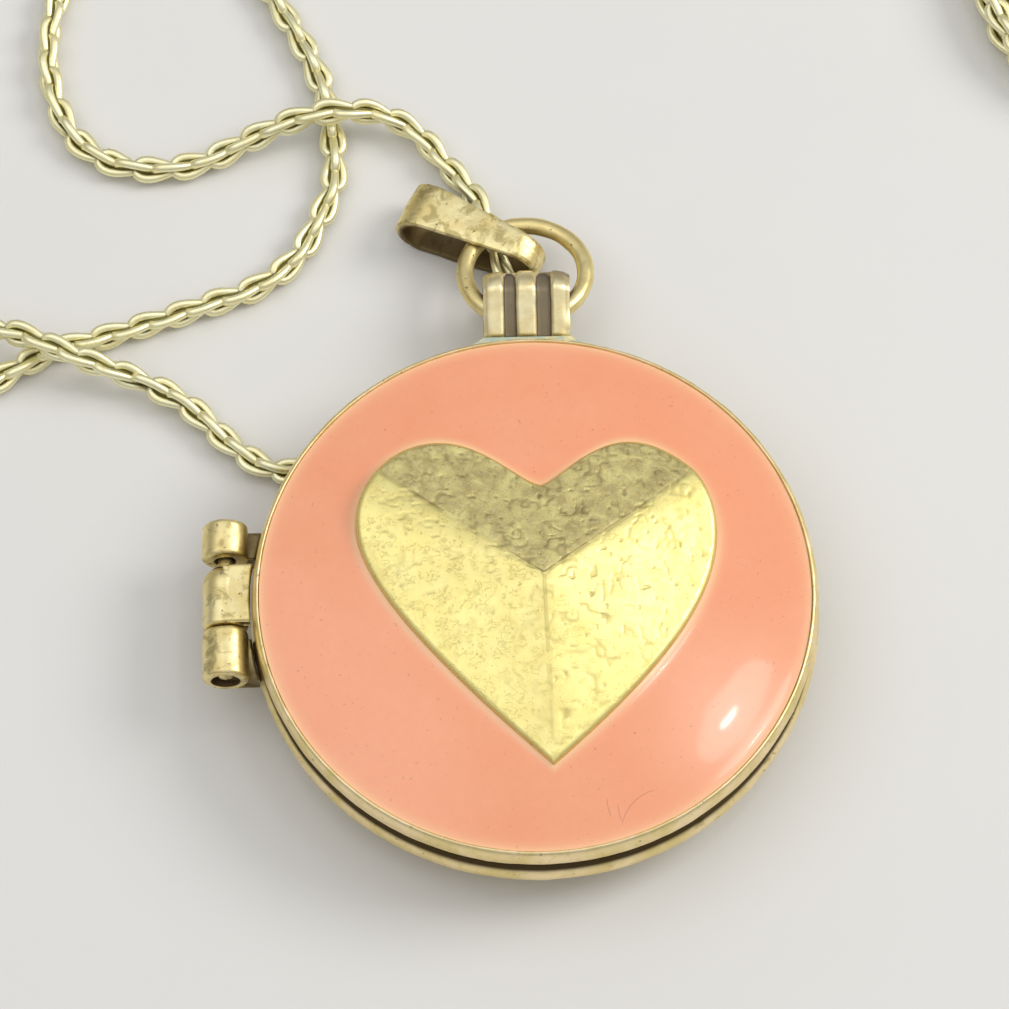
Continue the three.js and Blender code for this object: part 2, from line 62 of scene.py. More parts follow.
RIM_BACK_LOW, RIM_BACK_HIGH = low_high("back_rim")
RIM_FRONT_LOW, RIM_FRONT_HIGH = low_high("front_rim")
LOCKET_R = float(RIM_FRONT_HIGH[0])
ENAMEL_HIGH = low_high("coral_enamel")[1]
ENAMEL_R = float(ENAMEL_HIGH[0])
ENAMEL_EDGE = float(RIM_FRONT_HIGH[2]) - 0.15
ENAMEL_RISE = float(ENAMEL_HIGH[2]) - ENAMEL_EDGE
CUP_R = float(low_high("back_shell")[1][0])
CAVITY_R = CUP_R - 1.03
GROOVE_WAIST = 15.2
GROOVE_Z = (RIM_BACK_HIGH[2] + RIM_FRONT_LOW[2]) / 2
RIM_UNDER_R, RIM_TOP_R = 15.4, 15.55  # where the rims' rolled outsides start and stop
RIM_WEAR = 0.13  # the front rim is this much narrower, so the groove shows all round
ENAMEL_SEAT_Z = 5.62
REST_R = 9.0  # the flat middle of the back
PLATE_INNER_R, PLATE_THICK = 12.4, 0.55
FRAME_OPENING_R = 11.7


# ---- meshes

def make_mesh(name, points, faces, finish, smooth=True):
    """A mesh object from points in millimetres."""
    data = bpy.data.meshes.new(name)
    data.from_pydata((np.asarray(points, float) * MM).tolist(), [], faces)
    data.validate()
    data.update()
    piece = bpy.data.objects.new(name, data)
    bpy.context.scene.collection.objects.link(piece)
    data.materials.append(finish)
    if smooth:
        data.polygons.foreach_set("use_smooth", [True] * len(data.polygons))
    return piece


def points_of(piece):
    """A mesh's points, in millimetres."""
    points = np.empty(len(piece.data.vertices) * 3)
    piece.data.vertices.foreach_get("co", points)
    return points.reshape(-1, 3) / MM


def set_points(piece, points):
    piece.data.vertices.foreach_set("co", (points * MM).ravel())
    piece.data.update()


def laid(piece, order, shift):
    """A piece with its axes taken in another order, and moved."""
    set_points(piece, points_of(piece)[:, order] + shift)
    return piece


def unit(vectors):
    return vectors / np.linalg.norm(vectors, axis=-1)[..., None]


def full_turn(count):
    return np.linspace(0, 2 * math.pi, count, endpoint=False)


def smooth(value, low, high):
    share = np.clip((value - low) / (high - low), 0, 1)
    return share * share * (3 - 2 * share)


def give(piece, name, values):
    """A number for each vertex, which a material can read by name: 0 past the last value."""
    attribute = piece.data.attributes.new(name, "FLOAT", "POINT")
    every = np.zeros(len(piece.data.vertices), np.float32)
    every[: np.size(values)] = np.ravel(values)
    attribute.data.foreach_set("value", every)


def grid_faces(rows, columns, wrap_rows=False, flip=False):
    """Quads over rows of points: each row joins round, and so do the rows where asked."""
    faces = []
    for i in range(rows if wrap_rows else rows - 1):
        for j in range(columns):
            a, b = i * columns + j, i * columns + (j + 1) % columns
            c, d = ((i + 1) % rows) * columns + (j + 1) % columns, ((i + 1) % rows) * columns + j
            faces.append((a, d, c, b) if flip else (a, b, c, d))
    return faces


def capped(name, points, columns, first, last, finish, flip=False):
    """Rings of points, one after another, with a single point past each end."""
    faces = grid_faces(len(points) // columns, columns, flip=flip)
    peak, last_ring = len(points), len(points) - columns
    for j in range(columns):
        a, b = (j, (j + 1) % columns) if flip else ((j + 1) % columns, j)
        faces.append((peak, a, b))
        faces.append((peak + 1, last_ring + b, last_ring + a))
    return make_mesh(name, np.vstack([points, first, last]), faces, finish)


def turned(name, profile, finish, steps, closed=True):
    """A surface of revolution about Z. Its [radius, height] points go up the outside.
    A closed profile joins its ends; an open one starts and ends on the axis."""
    profile = np.asarray(profile, float)
    turns = full_turn(steps)
    body = profile if closed else profile[1:-1]
    points = np.empty((len(body), steps, 3))
    points[..., 0] = body[:, None, 0] * np.cos(turns)
    points[..., 1] = body[:, None, 0] * np.sin(turns)
    points[..., 2] = body[:, None, 1]
    points = points.reshape(-1, 3)
    if closed:
        faces = grid_faces(len(body), steps, wrap_rows=True)
        return make_mesh(name, points, faces, finish)
    return capped(name, points, steps, (0, 0, profile[0][1]), (0, 0, profile[-1][1]), finish)


def arc(centre, radii, start, stop, count):
    """Points on an ellipse's arc, in degrees."""
    turn = np.radians(np.linspace(start, stop, count))
    return np.c_[centre[0] + radii[0] * np.cos(turn), centre[1] + radii[1] * np.sin(turn)]


def rounded(corners, radius, count=5):
    """A closed outline with each corner rounded, by a quadratic curve at each."""
    corners = np.asarray(corners, float)
    points = []
    for i, corner in enumerate(corners):
        before, after = corners[i - 1] - corner, corners[(i + 1) % len(corners)] - corner
        cut = min(radius, 0.45 * np.linalg.norm(before), 0.45 * np.linalg.norm(after))
        a = corner + before / np.linalg.norm(before) * cut
        b = corner + after / np.linalg.norm(after) * cut
        for t in np.linspace(0, 1, count):
            points.append((1 - t) ** 2 * a + 2 * t * (1 - t) * corner + t ** 2 * b)
    return np.array(points)


def circles_along(line, ahead, radius, sides, up=(0, 0, 1)):
    """A circle of points about each point of a line."""
    side = unit(np.cross(ahead, np.asarray(up, float)))
    over = np.cross(side, ahead)
    turn = full_turn(sides)[:, None]
    return line[:, None] + radius * (np.cos(turn) * side[:, None] + np.sin(turn) * over[:, None])


def wire_ring(name, line, radius, finish, sides, up=(0, 0, 1)):
    """A round wire along a closed line of points."""
    ahead = unit(np.roll(line, -1, 0) - np.roll(line, 1, 0))
    points = circles_along(line, ahead, radius, sides, up)
    faces = grid_faces(len(line), sides, wrap_rows=True)
    return make_mesh(name, points.reshape(-1, 3), faces, finish)


def joined(name, pieces):
    """Several mesh objects made one."""
    points, faces, start = [], [], 0
    for piece in pieces:
        points.append(points_of(piece))
        faces += [tuple(start + i for i in f.vertices) for f in piece.data.polygons]
        start += len(points[-1])
    finish = pieces[0].data.materials[0]
    for piece in pieces:
        bpy.data.objects.remove(piece)
    return make_mesh(name, np.vstack(points), faces, finish)


# ---- materials

class Finish:
    """A node-built material whose textures are sized in millimetres."""

    def __init__(self, name):
        self.material = bpy.data.materials.new(name)
        self.material.use_nodes = True
        self.tree = self.material.node_tree
        self.shader = self.tree.nodes["Principled BSDF"]
        place = self.add("ShaderNodeTexCoord").outputs["Object"]
        scale = self.add("ShaderNodeVectorMath", operation="SCALE")
        scale.inputs["Scale"].default_value = 1 / MM
        self.link(place, scale.inputs[0])
        self.place = scale.outputs[0]

    def add(self, kind, **settings):
        made = self.tree.nodes.new(kind)
        for key, value in settings.items():
            setattr(made, key, value)
        return made

    def link(self, a, b):
        self.tree.links.new(a, b)

    def noise(self, size, detail=3, rough=0.55, distort=0.0):
        made = self.add("ShaderNodeTexNoise")
        made.inputs["Scale"].default_value = 1 / size
        made.inputs["Detail"].default_value = detail
        made.inputs["Roughness"].default_value = rough
        made.inputs["Distortion"].default_value = distort
        self.link(self.place, made.inputs["Vector"])
        return made.outputs["Fac"]

    def ramp(self, value, *stops):
        """A value from 0 to 1 read through (position, level) stops."""
        made = self.add("ShaderNodeValToRGB")
        marks = made.color_ramp.elements
        while len(marks) < len(stops):
            marks.new(0.5)
        for mark, (position, level) in zip(marks, stops):
            mark.position = position
            mark.color = (level, level, level, 1)
        self.link(value, made.inputs["Fac"])
        return made.outputs["Color"]

    def feed(self, value, socket):
        """A socket gets another's output, a number or a colour."""
        if isinstance(value, bpy.types.NodeSocket):
            self.link(value, socket)
        elif isinstance(value, (int, float)):
            socket.default_value = value
        else:
            socket.default_value = (*value, 1)

    def mix(self, share, a, b):
        made = self.add("ShaderNodeMix", data_type="RGBA")
        for value, socket in zip((share, a, b), (0, 6, 7)):
            self.feed(value, made.inputs[socket])
        return made.outputs[2]

    def two_tone(self, value, start, stop, a, b):
        """From colour a where the value is start to colour b where it is stop."""
        return self.mix(self.ramp(value, (start, 0), (stop, 1)), a, b)

    def math(self, operation, *values):
        made = self.add("ShaderNodeMath", operation=operation)
        for value, socket in zip(values, made.inputs):
            self.feed(value, socket)
        return made.outputs[0]

    def times(self, a, b):
        return self.math("MULTIPLY", a, b)

    def most(self, a, b):
        return self.math("MAXIMUM", a, b)

    def off(self, value, middle):
        """How far a value is from a middle one."""
        return self.math("ABSOLUTE", self.math("SUBTRACT", value, middle))

    def distance(self, point):
        """How far each place is, in plan, from a point on the front of the locket."""
        flat = self.add("ShaderNodeVectorMath", operation="MULTIPLY")
        flat.inputs[1].default_value = (1, 1, 0)
        self.link(self.place, flat.inputs[0])
        made = self.add("ShaderNodeVectorMath", operation="DISTANCE")
        made.inputs[1].default_value = (*point, 0)
        self.link(flat.outputs[0], made.inputs[0])
        return made.outputs["Value"]

    def attribute(self, name):
        return self.add("ShaderNodeAttribute", attribute_name=name).outputs["Fac"]

    def done(self, base, rough, low, high, *bumps, **values):
        """The material, once it has its colour, its roughness from low to high as rough goes
        from 0 to 1, bumps of (height, depth in millimetres), and the shader's other values."""
        self.link(base, self.shader.inputs["Base Color"])
        for key, value in values.items():
            self.shader.inputs[key.replace("_", " ")].default_value = value
        ranged = self.add("ShaderNodeMapRange")
        ranged.inputs["To Min"].default_value = low
        ranged.inputs["To Max"].default_value = high
        self.link(rough, ranged.inputs["Value"])
        self.link(ranged.outputs[0], self.shader.inputs["Roughness"])
        normal = None
        for height, depth in bumps:
            made = self.add("ShaderNodeBump")
            made.inputs["Strength"].default_value = 1
            made.inputs["Distance"].default_value = depth * MM
            self.link(height, made.inputs["Height"])
            if normal:
                self.link(normal, made.inputs["Normal"])
            normal = made.outputs[0]
        self.link(normal, self.shader.inputs["Normal"])
        return self.material


PALE_BRASS = (0.96, 0.85, 0.47)
MID_BRASS = (0.84, 0.69, 0.31)
OLIVE_BRASS = (0.46, 0.37, 0.15)
BROWN_PATINA = (0.12, 0.075, 0.035)
VERDIGRIS = (0.46, 0.58, 0.50)


def aged_brass(name, patina, pits, verdigris=0.0, pale=PALE_BRASS, patina_and_shade=BROWN_PATINA):
    """Brass with brushed light, olive and brown stains, and a few pits. Where a mesh's "dark" is 1 it takes
    the hollow colour: brown patina with painted shade in the rims' groove, painted shade on the rims'
    inside faces, in the hinge's mouth and on the leaves under the rim, and dark patina with painted shade
    in the bail."""
    f = Finish(name)
    cloud = f.noise(1.9, detail=6, rough=0.62, distort=0.4)
    stain = f.noise(0.8, detail=5, rough=0.6, distort=0.8)
    fine = f.noise(0.12, rough=0.6)
    base = f.two_tone(cloud, 0.38, 0.6, pale, MID_BRASS)
    low = 0.68 - 0.2 * patina
    base = f.mix(f.ramp(stain, (low, 0), (low + 0.12, 0.75)), base, OLIVE_BRASS)
    rare = 0.68 - 0.05 * pits
    spots = f.ramp(f.noise(0.35, rough=0.6), (rare, 0), (rare + 0.08, 0.8))
    base = f.mix(spots, base, BROWN_PATINA)
    dark = f.attribute("dark")
    # Painted shade, with patina in the rims' groove: the hollow colour where the mesh's "dark" is 1.
    base = f.mix(dark, base, patina_and_shade)
    if verdigris:
        bloom = f.noise(0.9, detail=5, rough=0.7)
        green = f.ramp(bloom, (0.60 - verdigris * 0.3, 0), (0.7 - verdigris * 0.2, 1))
        base = f.mix(green, base, VERDIGRIS)
        f.link(f.math("SUBTRACT", 1, green), f.shader.inputs["Metallic"])
    rough = f.most(f.times(stain, 0.7), f.most(spots, dark))
    bumps = (spots, -0.02), (fine, 0.005), (f.noise(0.5), 0.02)
    return f.done(base, rough, 0.3, 0.65, *bumps, Metallic=1.0)


def heart_brass():
    """Cast brass, antiqued: curly shallow pits hold a little patina, and the rest is rubbed bright; the
    mesh's facet attribute says how dark each facet is painted, part patina and part painted shade, most on
    the top facet, which faces away from the lamps."""
    f = Finish("heart_brass")
    facet_patina_and_shade, pit = f.attribute("facet_patina_and_shade"), f.attribute("pit")
    stroke = f.off(f.noise(0.46, detail=1.5, rough=0.5, distort=0.8), 0.5)
    here = f.ramp(f.noise(0.6, detail=2, rough=0.5), (0.44, 0), (0.54, 1))
    curls = f.times(f.ramp(stroke, (0.006, 1), (0.028, 0)), here)
    specks = f.ramp(f.noise(0.17, detail=2, rough=0.6, distort=0.6), (0.27, 1), (0.34, 0))
    marks = f.most(pit, f.most(f.times(curls, 0.5), f.times(specks, 0.7)))
    bright = f.two_tone(f.noise(1.2), 0.35, 0.65, (1.0, 0.89, 0.37), (0.94, 0.81, 0.30))
    cloud = f.noise(0.9, detail=5, rough=0.65, distort=0.5)
    tarnish = f.two_tone(cloud, 0.35, 0.65, (0.96, 0.85, 0.38), (0.60, 0.49, 0.22))
    # Painted shade with patina, by facet: the tarnish tone covers the top facet and a little of the left
    # one, and frost and deeper marks follow it.
    base = f.mix(facet_patina_and_shade, bright, tarnish)
    frosted = f.ramp(f.noise(0.22, rough=0.6), (0.56, 0), (0.66, 1))
    base = f.mix(f.times(f.times(frosted, facet_patina_and_shade), 0.5), base, (0.85, 0.80, 0.5))
    depth = f.math("ADD", 0.36, f.times(facet_patina_and_shade, 0.3))
    base = f.mix(f.times(marks, depth), base, (0.24, 0.19, 0.07))
    rough = f.most(marks, f.times(facet_patina_and_shade, 0.6))
    bumps = (marks, -0.012), (f.noise(0.1, detail=2), 0.005)
    return f.done(base, rough, 0.4, 0.6, *bumps, Metallic=1.0)


def loop_brass():
    """The ribbed loop: rubbed bright ribs, and grooves left grey-violet with tarnish."""
    f = Finish("loop_brass")
    rib = f.attribute("rib")
    cloud = f.noise(0.9, detail=5, rough=0.6, distort=0.5)
    base = f.two_tone(cloud, 0.38, 0.62, (1.0, 0.90, 0.56), (0.88, 0.74, 0.40))
    spots = f.ramp(f.noise(0.3, detail=4, rough=0.7), (0.66, 0), (0.74, 0.8))
    base = f.mix(spots, base, BROWN_PATINA)
    tarnish = f.two_tone(cloud, 0.4, 0.6, (0.16, 0.12, 0.10), (0.24, 0.19, 0.16))
    groove = f.ramp(rib, (0.30, 1), (0.55, 0))
    base = f.mix(groove, base, tarnish)
    base = f.mix(f.ramp(rib, (-0.45, 1), (-0.1, 0)), base, (0.30, 0.25, 0.17))
    # Painted shadow of the bail on the right rib's top, and painted shade inside the hole.
    base = f.mix(f.attribute("dark"), base, (0.20, 0.14, 0.10))
    rough = f.most(groove, f.times(cloud, 0.6))
    bumps = (spots, -0.02), (f.noise(0.1, detail=2), 0.005)
    return f.done(base, rough, 0.28, 0.62, *bumps, Metallic=1.0)


def chain_gold():
    """Pale gold wire, with painted dark olive shade in the crevices between wires."""
    f = Finish("chain_gold")
    out = f.attribute("out")
    tint = f.noise(0.9, detail=4, rough=0.6)
    base = f.two_tone(tint, 0.35, 0.65, (1.0, 0.97, 0.66), (1.0, 0.92, 0.55))
    # Painted shade: the nearer a point is to the strand's axis, the darker it is.
    crevice_shade = f.ramp(out, (0.40, 1), (0.62, 0))
    base = f.mix(f.times(crevice_shade, 0.93), base, (0.16, 0.14, 0.03))
    stain = f.ramp(f.noise(0.3, detail=4, rough=0.7), (0.62, 0), (0.74, 0.5))
    base = f.mix(stain, base, (0.50, 0.40, 0.16))
    rough = f.most(crevice_shade, f.times(tint, 0.6))
    return f.done(base, rough, 0.36, 0.62, (f.noise(0.07, detail=2), 0.004), Metallic=1.0)


# Three thin curved marks: the centre and radius of the bend, its middle and half its length.
CURVED_SCRATCHES = (
    ((6.9, -14.6), 2.57, (5.05, -12.8), 1.5),
    ((6.0, -12.6), 2.4, (3.65, -13.1), 0.55),
    ((6.6, -12.9), 2.4, (4.25, -13.4), 0.5),
)


def coral_enamel():
    """Fired glass enamel: even coral, a few specks, a pale thin line where it creeps up metal."""
    f = Finish("coral_enamel")
    cloud = f.noise(5.0, rough=0.5)
    base = f.two_tone(cloud, 0.35, 0.65, (0.96, 0.360, 0.176), (0.975, 0.392, 0.205))
    specks = f.ramp(f.noise(0.22, detail=2, rough=0.4), (0.70, 0), (0.76, 0.5))
    base = f.mix(specks, base, (0.52, 0.20, 0.12))
    mottle = f.ramp(f.noise(0.5, detail=4, rough=0.6), (0.4, 0), (0.8, 0.25))
    base = f.mix(mottle, base, (0.88, 0.33, 0.18))
    base = f.mix(f.times(f.attribute("creep"), 0.85), base, (1.0, 0.64, 0.34))
    for bend_centre, bend_r, middle, half_length in CURVED_SCRATCHES:
        line = f.ramp(f.times(f.off(f.distance(bend_centre), bend_r), 10), (0.1, 1), (0.45, 0))
        near = f.ramp(f.math("DIVIDE", f.distance(middle), half_length), (0.75, 1), (1.0, 0))
        base = f.mix(f.times(f.times(line, near), 0.5), base, (0.45, 0.18, 0.10))
    return f.done(
        base, cloud, 0.2, 0.28, (f.noise(1.6, detail=2, rough=0.4), 0.004),
        Specular_IOR_Level=0.8, Coat_Weight=0.3, Coat_Roughness=0.045,
        Subsurface_Weight=0.05, Subsurface_Radius=(1.2 * MM, 0.5 * MM, 0.3 * MM),
    )


def plain_finish(name, light, dark, size, low, high, metal=0.0, depth=0.004, **values):
    """A two-tone mottled finish for small hidden pieces."""
    f = Finish(name)
    cloud = f.noise(size, detail=5, rough=0.6)
    base = f.two_tone(cloud, 0.35, 0.65, light, dark)
    return f.done(base, cloud, low, high, (f.noise(size / 8), depth), Metallic=metal, **values)


BRASS = aged_brass("aged_brass", patina=0.45, pits=0.45)
RING_BRASS = aged_brass("ring_brass", patina=0.35, pits=0.35, pale=(0.93, 0.80, 0.41))
CLASP_GOLD = aged_brass("clasp_gold", patina=0.3, pits=0.3, pale=(1.0, 0.93, 0.58))
LOOP_BRASS = loop_brass()
# The rims' hollow colour: brown patina darkened to near black as painted shade.
RIM_BRASS = aged_brass("rim_brass", patina=0.3, pits=0.3, pale=(1.0, 0.82, 0.50), patina_and_shade=(0.07, 0.042, 0.016))
HINGE_BRASS = aged_brass("hinge_brass", patina=0.8, pits=0.6)
STAINED_BRASS = aged_brass("stained_brass", patina=0.95, pits=0.9)
FOOT_BRASS = aged_brass("foot_brass", patina=0.8, pits=0.8, verdigris=0.75)
BAIL_BRASS = aged_brass("bail_brass", patina=1.05, pits=0.6)
HEART_BRASS = heart_brass()
CHAIN_GOLD = chain_gold()
ENAMEL = coral_enamel()
CARD = plain_finish("photo_card", (0.74, 0.66, 0.50), (0.60, 0.51, 0.37), 6.0, 0.7, 0.9)
WINDOW = plain_finish(
    "clear_window", (0.92, 0.95, 0.95), (0.88, 0.92, 0.92), 9.0, 0.06, 0.1, depth=0.0, Alpha=0.2, IOR=1.49
)
STEEL = plain_finish("dull_steel", (0.45, 0.45, 0.43), (0.25, 0.24, 0.22), 0.4, 0.35, 0.6, metal=1.0)


# ---- camera, floor and light

def camera():
    scene = bpy.context.scene
    scene.view_settings.view_transform = "Standard"
    azimuth, elevation = math.radians(-1.4), math.radians(65.95)
    distance = 320 * MM
    target = Vector((-1.584, 5.758, 5.2)) * MM
    back = Vector((
        math.sin(azimuth) * math.cos(elevation),
        -math.cos(azimuth) * math.cos(elevation),
        math.sin(elevation),
    ))
    lens = bpy.data.cameras.new("camera")
    lens.sensor_width = 36
    lens.lens = 202.3
    lens.clip_start = 0.01
    lens.clip_end = 10
    holder = bpy.data.objects.new("camera", lens)
    holder.location = target + back * distance
    holder.rotation_euler = back.to_track_quat("Z", "Y").to_euler()
    scene.collection.objects.link(holder)
    scene.camera = holder


def floor():
    half, level = 600, -0.03
    corners = [(x * half, y * half, level) for x, y in ((-1, -1), (1, -1), (1, 1), (-1, 1))]
    pale = plain_finish("floor_paint", (0.80, 0.79, 0.77), (0.78, 0.77, 0.75), 60, 0.55, 0.7)
    make_mesh("floor", corners, [(0, 1, 2, 3)], pale, smooth=False)


def lamp(name, toward, size, watts, long_way=(0, 1, 0)):
    """An oval lamp half a metre away, its length along long_way."""
    away = 0.5
    light = bpy.data.lights.new(name, "AREA")
    light.shape = "ELLIPSE"
    light.size, light.size_y = size
    light.energy = watts
    light.color = (1, 0.985, 0.95)
    holder = bpy.data.objects.new(name, light)
    z = Vector(toward).normalized()
    x = Vector(long_way).cross(z).normalized()
    y = z.cross(x)
    holder.matrix_world = Matrix([*zip(x, y, z, z * away), (0, 0, 0, 1)])
    bpy.context.scene.collection.objects.link(holder)


def lamps():
    slant = (0.53, 0.85, 0)
    lamp("streak", (0.285, 0.190, 0.940), (0.0036, 0.020), 0.015, slant)
    lamp("glow", (0.285, 0.200, 0.938), (0.032, 0.090), 0.062, slant)
    lamp("side key", (0.75, 0.20, 0.63), (0.25, 0.25), 1.0)
    lamp("left fill", (-0.45, 0.10, 0.89), (0.4, 0.4), 0.26)


def sky():
    """Light from all round, dim below and bright above."""
    world = bpy.data.worlds.new("studio")
    world.use_nodes = True
    tree = world.node_tree
    place = tree.nodes.new("ShaderNodeTexCoord")
    split = tree.nodes.new("ShaderNodeSeparateXYZ")
    ramp = tree.nodes.new("ShaderNodeValToRGB")
    stops = ((0.05, (0.16, 0.16, 0.17, 1)), (0.92, (0.95, 0.95, 0.95, 1)))
    for mark, (position, level) in zip(ramp.color_ramp.elements, stops):
        mark.position = position
        mark.color = level
    tree.links.new(place.outputs["Generated"], split.inputs[0])
    tree.links.new(split.outputs[2], ramp.inputs[0])
    tree.links.new(ramp.outputs[0], tree.nodes["Background"].inputs[0])
    tree.nodes["Background"].inputs[1].default_value = 0.85
    bpy.context.scene.world = world


camera()
floor()
lamps()
sky()


# ---- shared shapes

def enamel_top(r):
    """The domed enamel, at a radius from the locket's middle."""
    return ENAMEL_EDGE + ENAMEL_RISE * (1 - (r / ENAMEL_R) ** 2)


def plate_top(r):
    """The front plate under the enamel."""
    return 5.58 + 1.02 * (1 - (r / CUP_R) ** 2)


def grain(points, size, seed):
    """Smooth random values from 0 to 1 over space, with features about size across."""
    count = 40
    lattice = np.random.default_rng(seed).random((count, count, count))
    place = np.asarray(points, float) / size + 500.0
    cell = np.floor(place).astype(int)
    share = smooth(place - cell, 0, 1)
    total = np.zeros(len(place))
    for corner in np.ndindex(2, 2, 2):
        weight = np.prod(np.where(np.array(corner) == 1, share, 1 - share), axis=1)
        at = (cell + corner) % count
        total += weight * lattice[at[:, 0], at[:, 1], at[:, 2]]
    return total


def squiggles(points, size, thin, seed):
    """1 in short curly strokes about thin wide, and 0 between them."""
    stroke = 1 - np.clip(np.abs(grain(points, size, seed) - 0.5) / (thin / size) / 0.8, 0, 1)
    here = np.clip((grain(points, size * 1.3, seed + 1) - 0.52) / 0.08, 0, 1)
    return stroke * here


def worn(piece, depth, size, seed):
    """Casting and wear: each point goes along its normal by a smooth random amount."""
    points = points_of(piece)
    normals = np.empty(points.size)
    piece.data.vertices.foreach_get("normal", normals)
    push = (grain(points, size, seed) - 0.5) + 0.4 * (grain(points, size / 3, seed + 1) - 0.5)
    set_points(piece, points + normals.reshape(-1, 3) * (push * 2 * depth)[:, None])
    return piece


COVER_NODES = (
    "front_cover", "front_rim", "coral_enamel", "heart_relief", "front_photo_card", "front_photo_window",
    "front_photo_frame", "hinge_knuckle_middle",
)


def body_of(node):
    loose = {"jump_ring": "ring", "bail": "bail"}
    return loose.get(node, "cover" if node in COVER_NODES else "back")


def put(piece, node):
    """A finely made piece takes the place of its CAD node and moves with that node's body."""
    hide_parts(node)
    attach(piece, body_of(node))


def ends_of(node, axis=2):
    low, high = low_high(node)
    return float(low[axis]), float(high[axis])


# ---- the two halves

def rim_outline(low, high, low_waist, high_waist, seat=None, bulge_r=LOCKET_R):
    """A rolled rim: rounded outside, from one waist to the other, and soldered inside."""
    inner, middle, half = CUP_R + 0.02, (low + high) / 2, (high - low) / 2
    lower = arc((low_waist, middle), (bulge_r - low_waist, half), -90, 0, 18)
    upper = arc((high_waist, middle), (bulge_r - high_waist, half), 0, 90, 18)[1:]
    top = [(inner, high)]
    if seat:
        top = [(seat, high - 0.03), (seat, ENAMEL_SEAT_Z), (inner, ENAMEL_SEAT_Z)]
    return np.vstack([[(inner, low)], lower, upper, top])


def rim(node, outline, seed):
    """A rim darkened in the groove between the two, brown patina with painted shade, and on its inside
    face, where it meets the cup, with painted shade.
    """
    steps = 480
    piece = turned(node + "_fine", outline, RIM_BRASS, steps)
    r, z = np.repeat(outline, steps, axis=0).T
    # Painted shade: the groove gets patina darkened to shade, and the inside face, below CUP_R, gets shade
    # only.
    near = 1 - smooth(np.abs(z - GROOVE_Z), 0.34, 0.50)
    give(piece, "dark", np.clip(near + (r < CUP_R + 0.1), 0, 0.95))
    put(worn(piece, 0.02, 1.0, seed), node)


def back_shell():
    share = np.linspace(0, 1, 26)
    outside = np.c_[REST_R + (CUP_R - REST_R) * share, (RIM_BACK_LOW[2] + 0.05) * share**1.6]
    cup_top = float(low_high("back_shell")[1][2])
    ledge_z, floor_z, ledge_r, floor_r, soft = 2.0, 0.9, 12.2, 10.4, 0.15
    wall = [(CUP_R, cup_top), (CAVITY_R, cup_top), (CAVITY_R, ledge_z + soft), (CAVITY_R - soft, ledge_z)]
    step = [(ledge_r, ledge_z), (ledge_r - 0.3, ledge_z - 0.1), (floor_r + 0.3, floor_z + 0.1)]
    inside = [*wall, *step, (floor_r, floor_z), (0, floor_z)]
    flat = [(0, 0), (3, 0), (6, 0)]
    shell = turned("back_shell_fine", np.vstack([flat, outside, inside]), BRASS, 240, closed=False)
    put(worn(shell, 0.012, 1.7, 11), "back_shell")


def back_rim():
    low, high = RIM_BACK_LOW[2], RIM_BACK_HIGH[2]
    rim("back_rim", rim_outline(low, high, RIM_UNDER_R, GROOVE_WAIST), 12)


def front_rim():
    low, high = RIM_FRONT_LOW[2], RIM_FRONT_HIGH[2]
    seat, bulge_r = ENAMEL_R + 0.04, LOCKET_R - RIM_WEAR
    rim("front_rim", rim_outline(low, high, GROOVE_WAIST, RIM_TOP_R, seat, bulge_r), 13)


def front_cover():
    under_r = np.linspace(0, PLATE_INNER_R, 12)
    over_r = np.linspace(CUP_R, 0, 18)
    low, step_z = ends_of("front_cover")[0], 5.15
    wall = [(PLATE_INNER_R, step_z), (CAVITY_R, step_z), (CAVITY_R, low), (CUP_R, low)]
    under = np.c_[under_r, plate_top(under_r) - PLATE_THICK]
    outline = np.vstack([under, wall, np.c_[over_r, plate_top(over_r)]])
    put(turned("front_cover_fine", outline, BRASS, 200, closed=False), "front_cover")


def photo_disc(node, finish):
    """A card or window: a flat disc with softened edges."""
    low, high = ends_of(node)
    radius = ends_of(node, 0)[1]
    soft = 0.2 * (high - low)
    rise = [(0, low), (radius - soft, low), (radius, low + soft)]
    fall = [(radius, high - soft), (radius - soft, high), (0, high)]
    put(turned(node + "_fine", rise + fall, finish, 160, closed=False), node)


def photo_frame(node):
    low, high = ends_of(node)
    radius, opening = ends_of(node, 0)[1], FRAME_OPENING_R
    dome = arc(((radius + opening) / 2, low), ((radius - opening) / 2, high - low), 0, 180, 15)
    outline = np.vstack([[(opening, low), (radius, low)], dome[1:-1]])
    put(worn(turned(node + "_fine", outline, BRASS, 200), 0.008, 0.8, 14), node)


def photo_pieces():
    for half in ("back", "front"):
        photo_disc(f"{half}_photo_card", CARD)
        photo_disc(f"{half}_photo_window", WINDOW)
        photo_frame(f"{half}_photo_frame")


# ---- heart and enamel

HEART_APEX = np.array([0.45, -0.1, 9.0])
HEART_TOP_SLOPE = 0.225
HEART_WALL = 0.32
HEART_TIP = (0.74, -10.67)
HEART_CLEFT = (0.42, 5.95)
EASE_TO_Y = 0.5
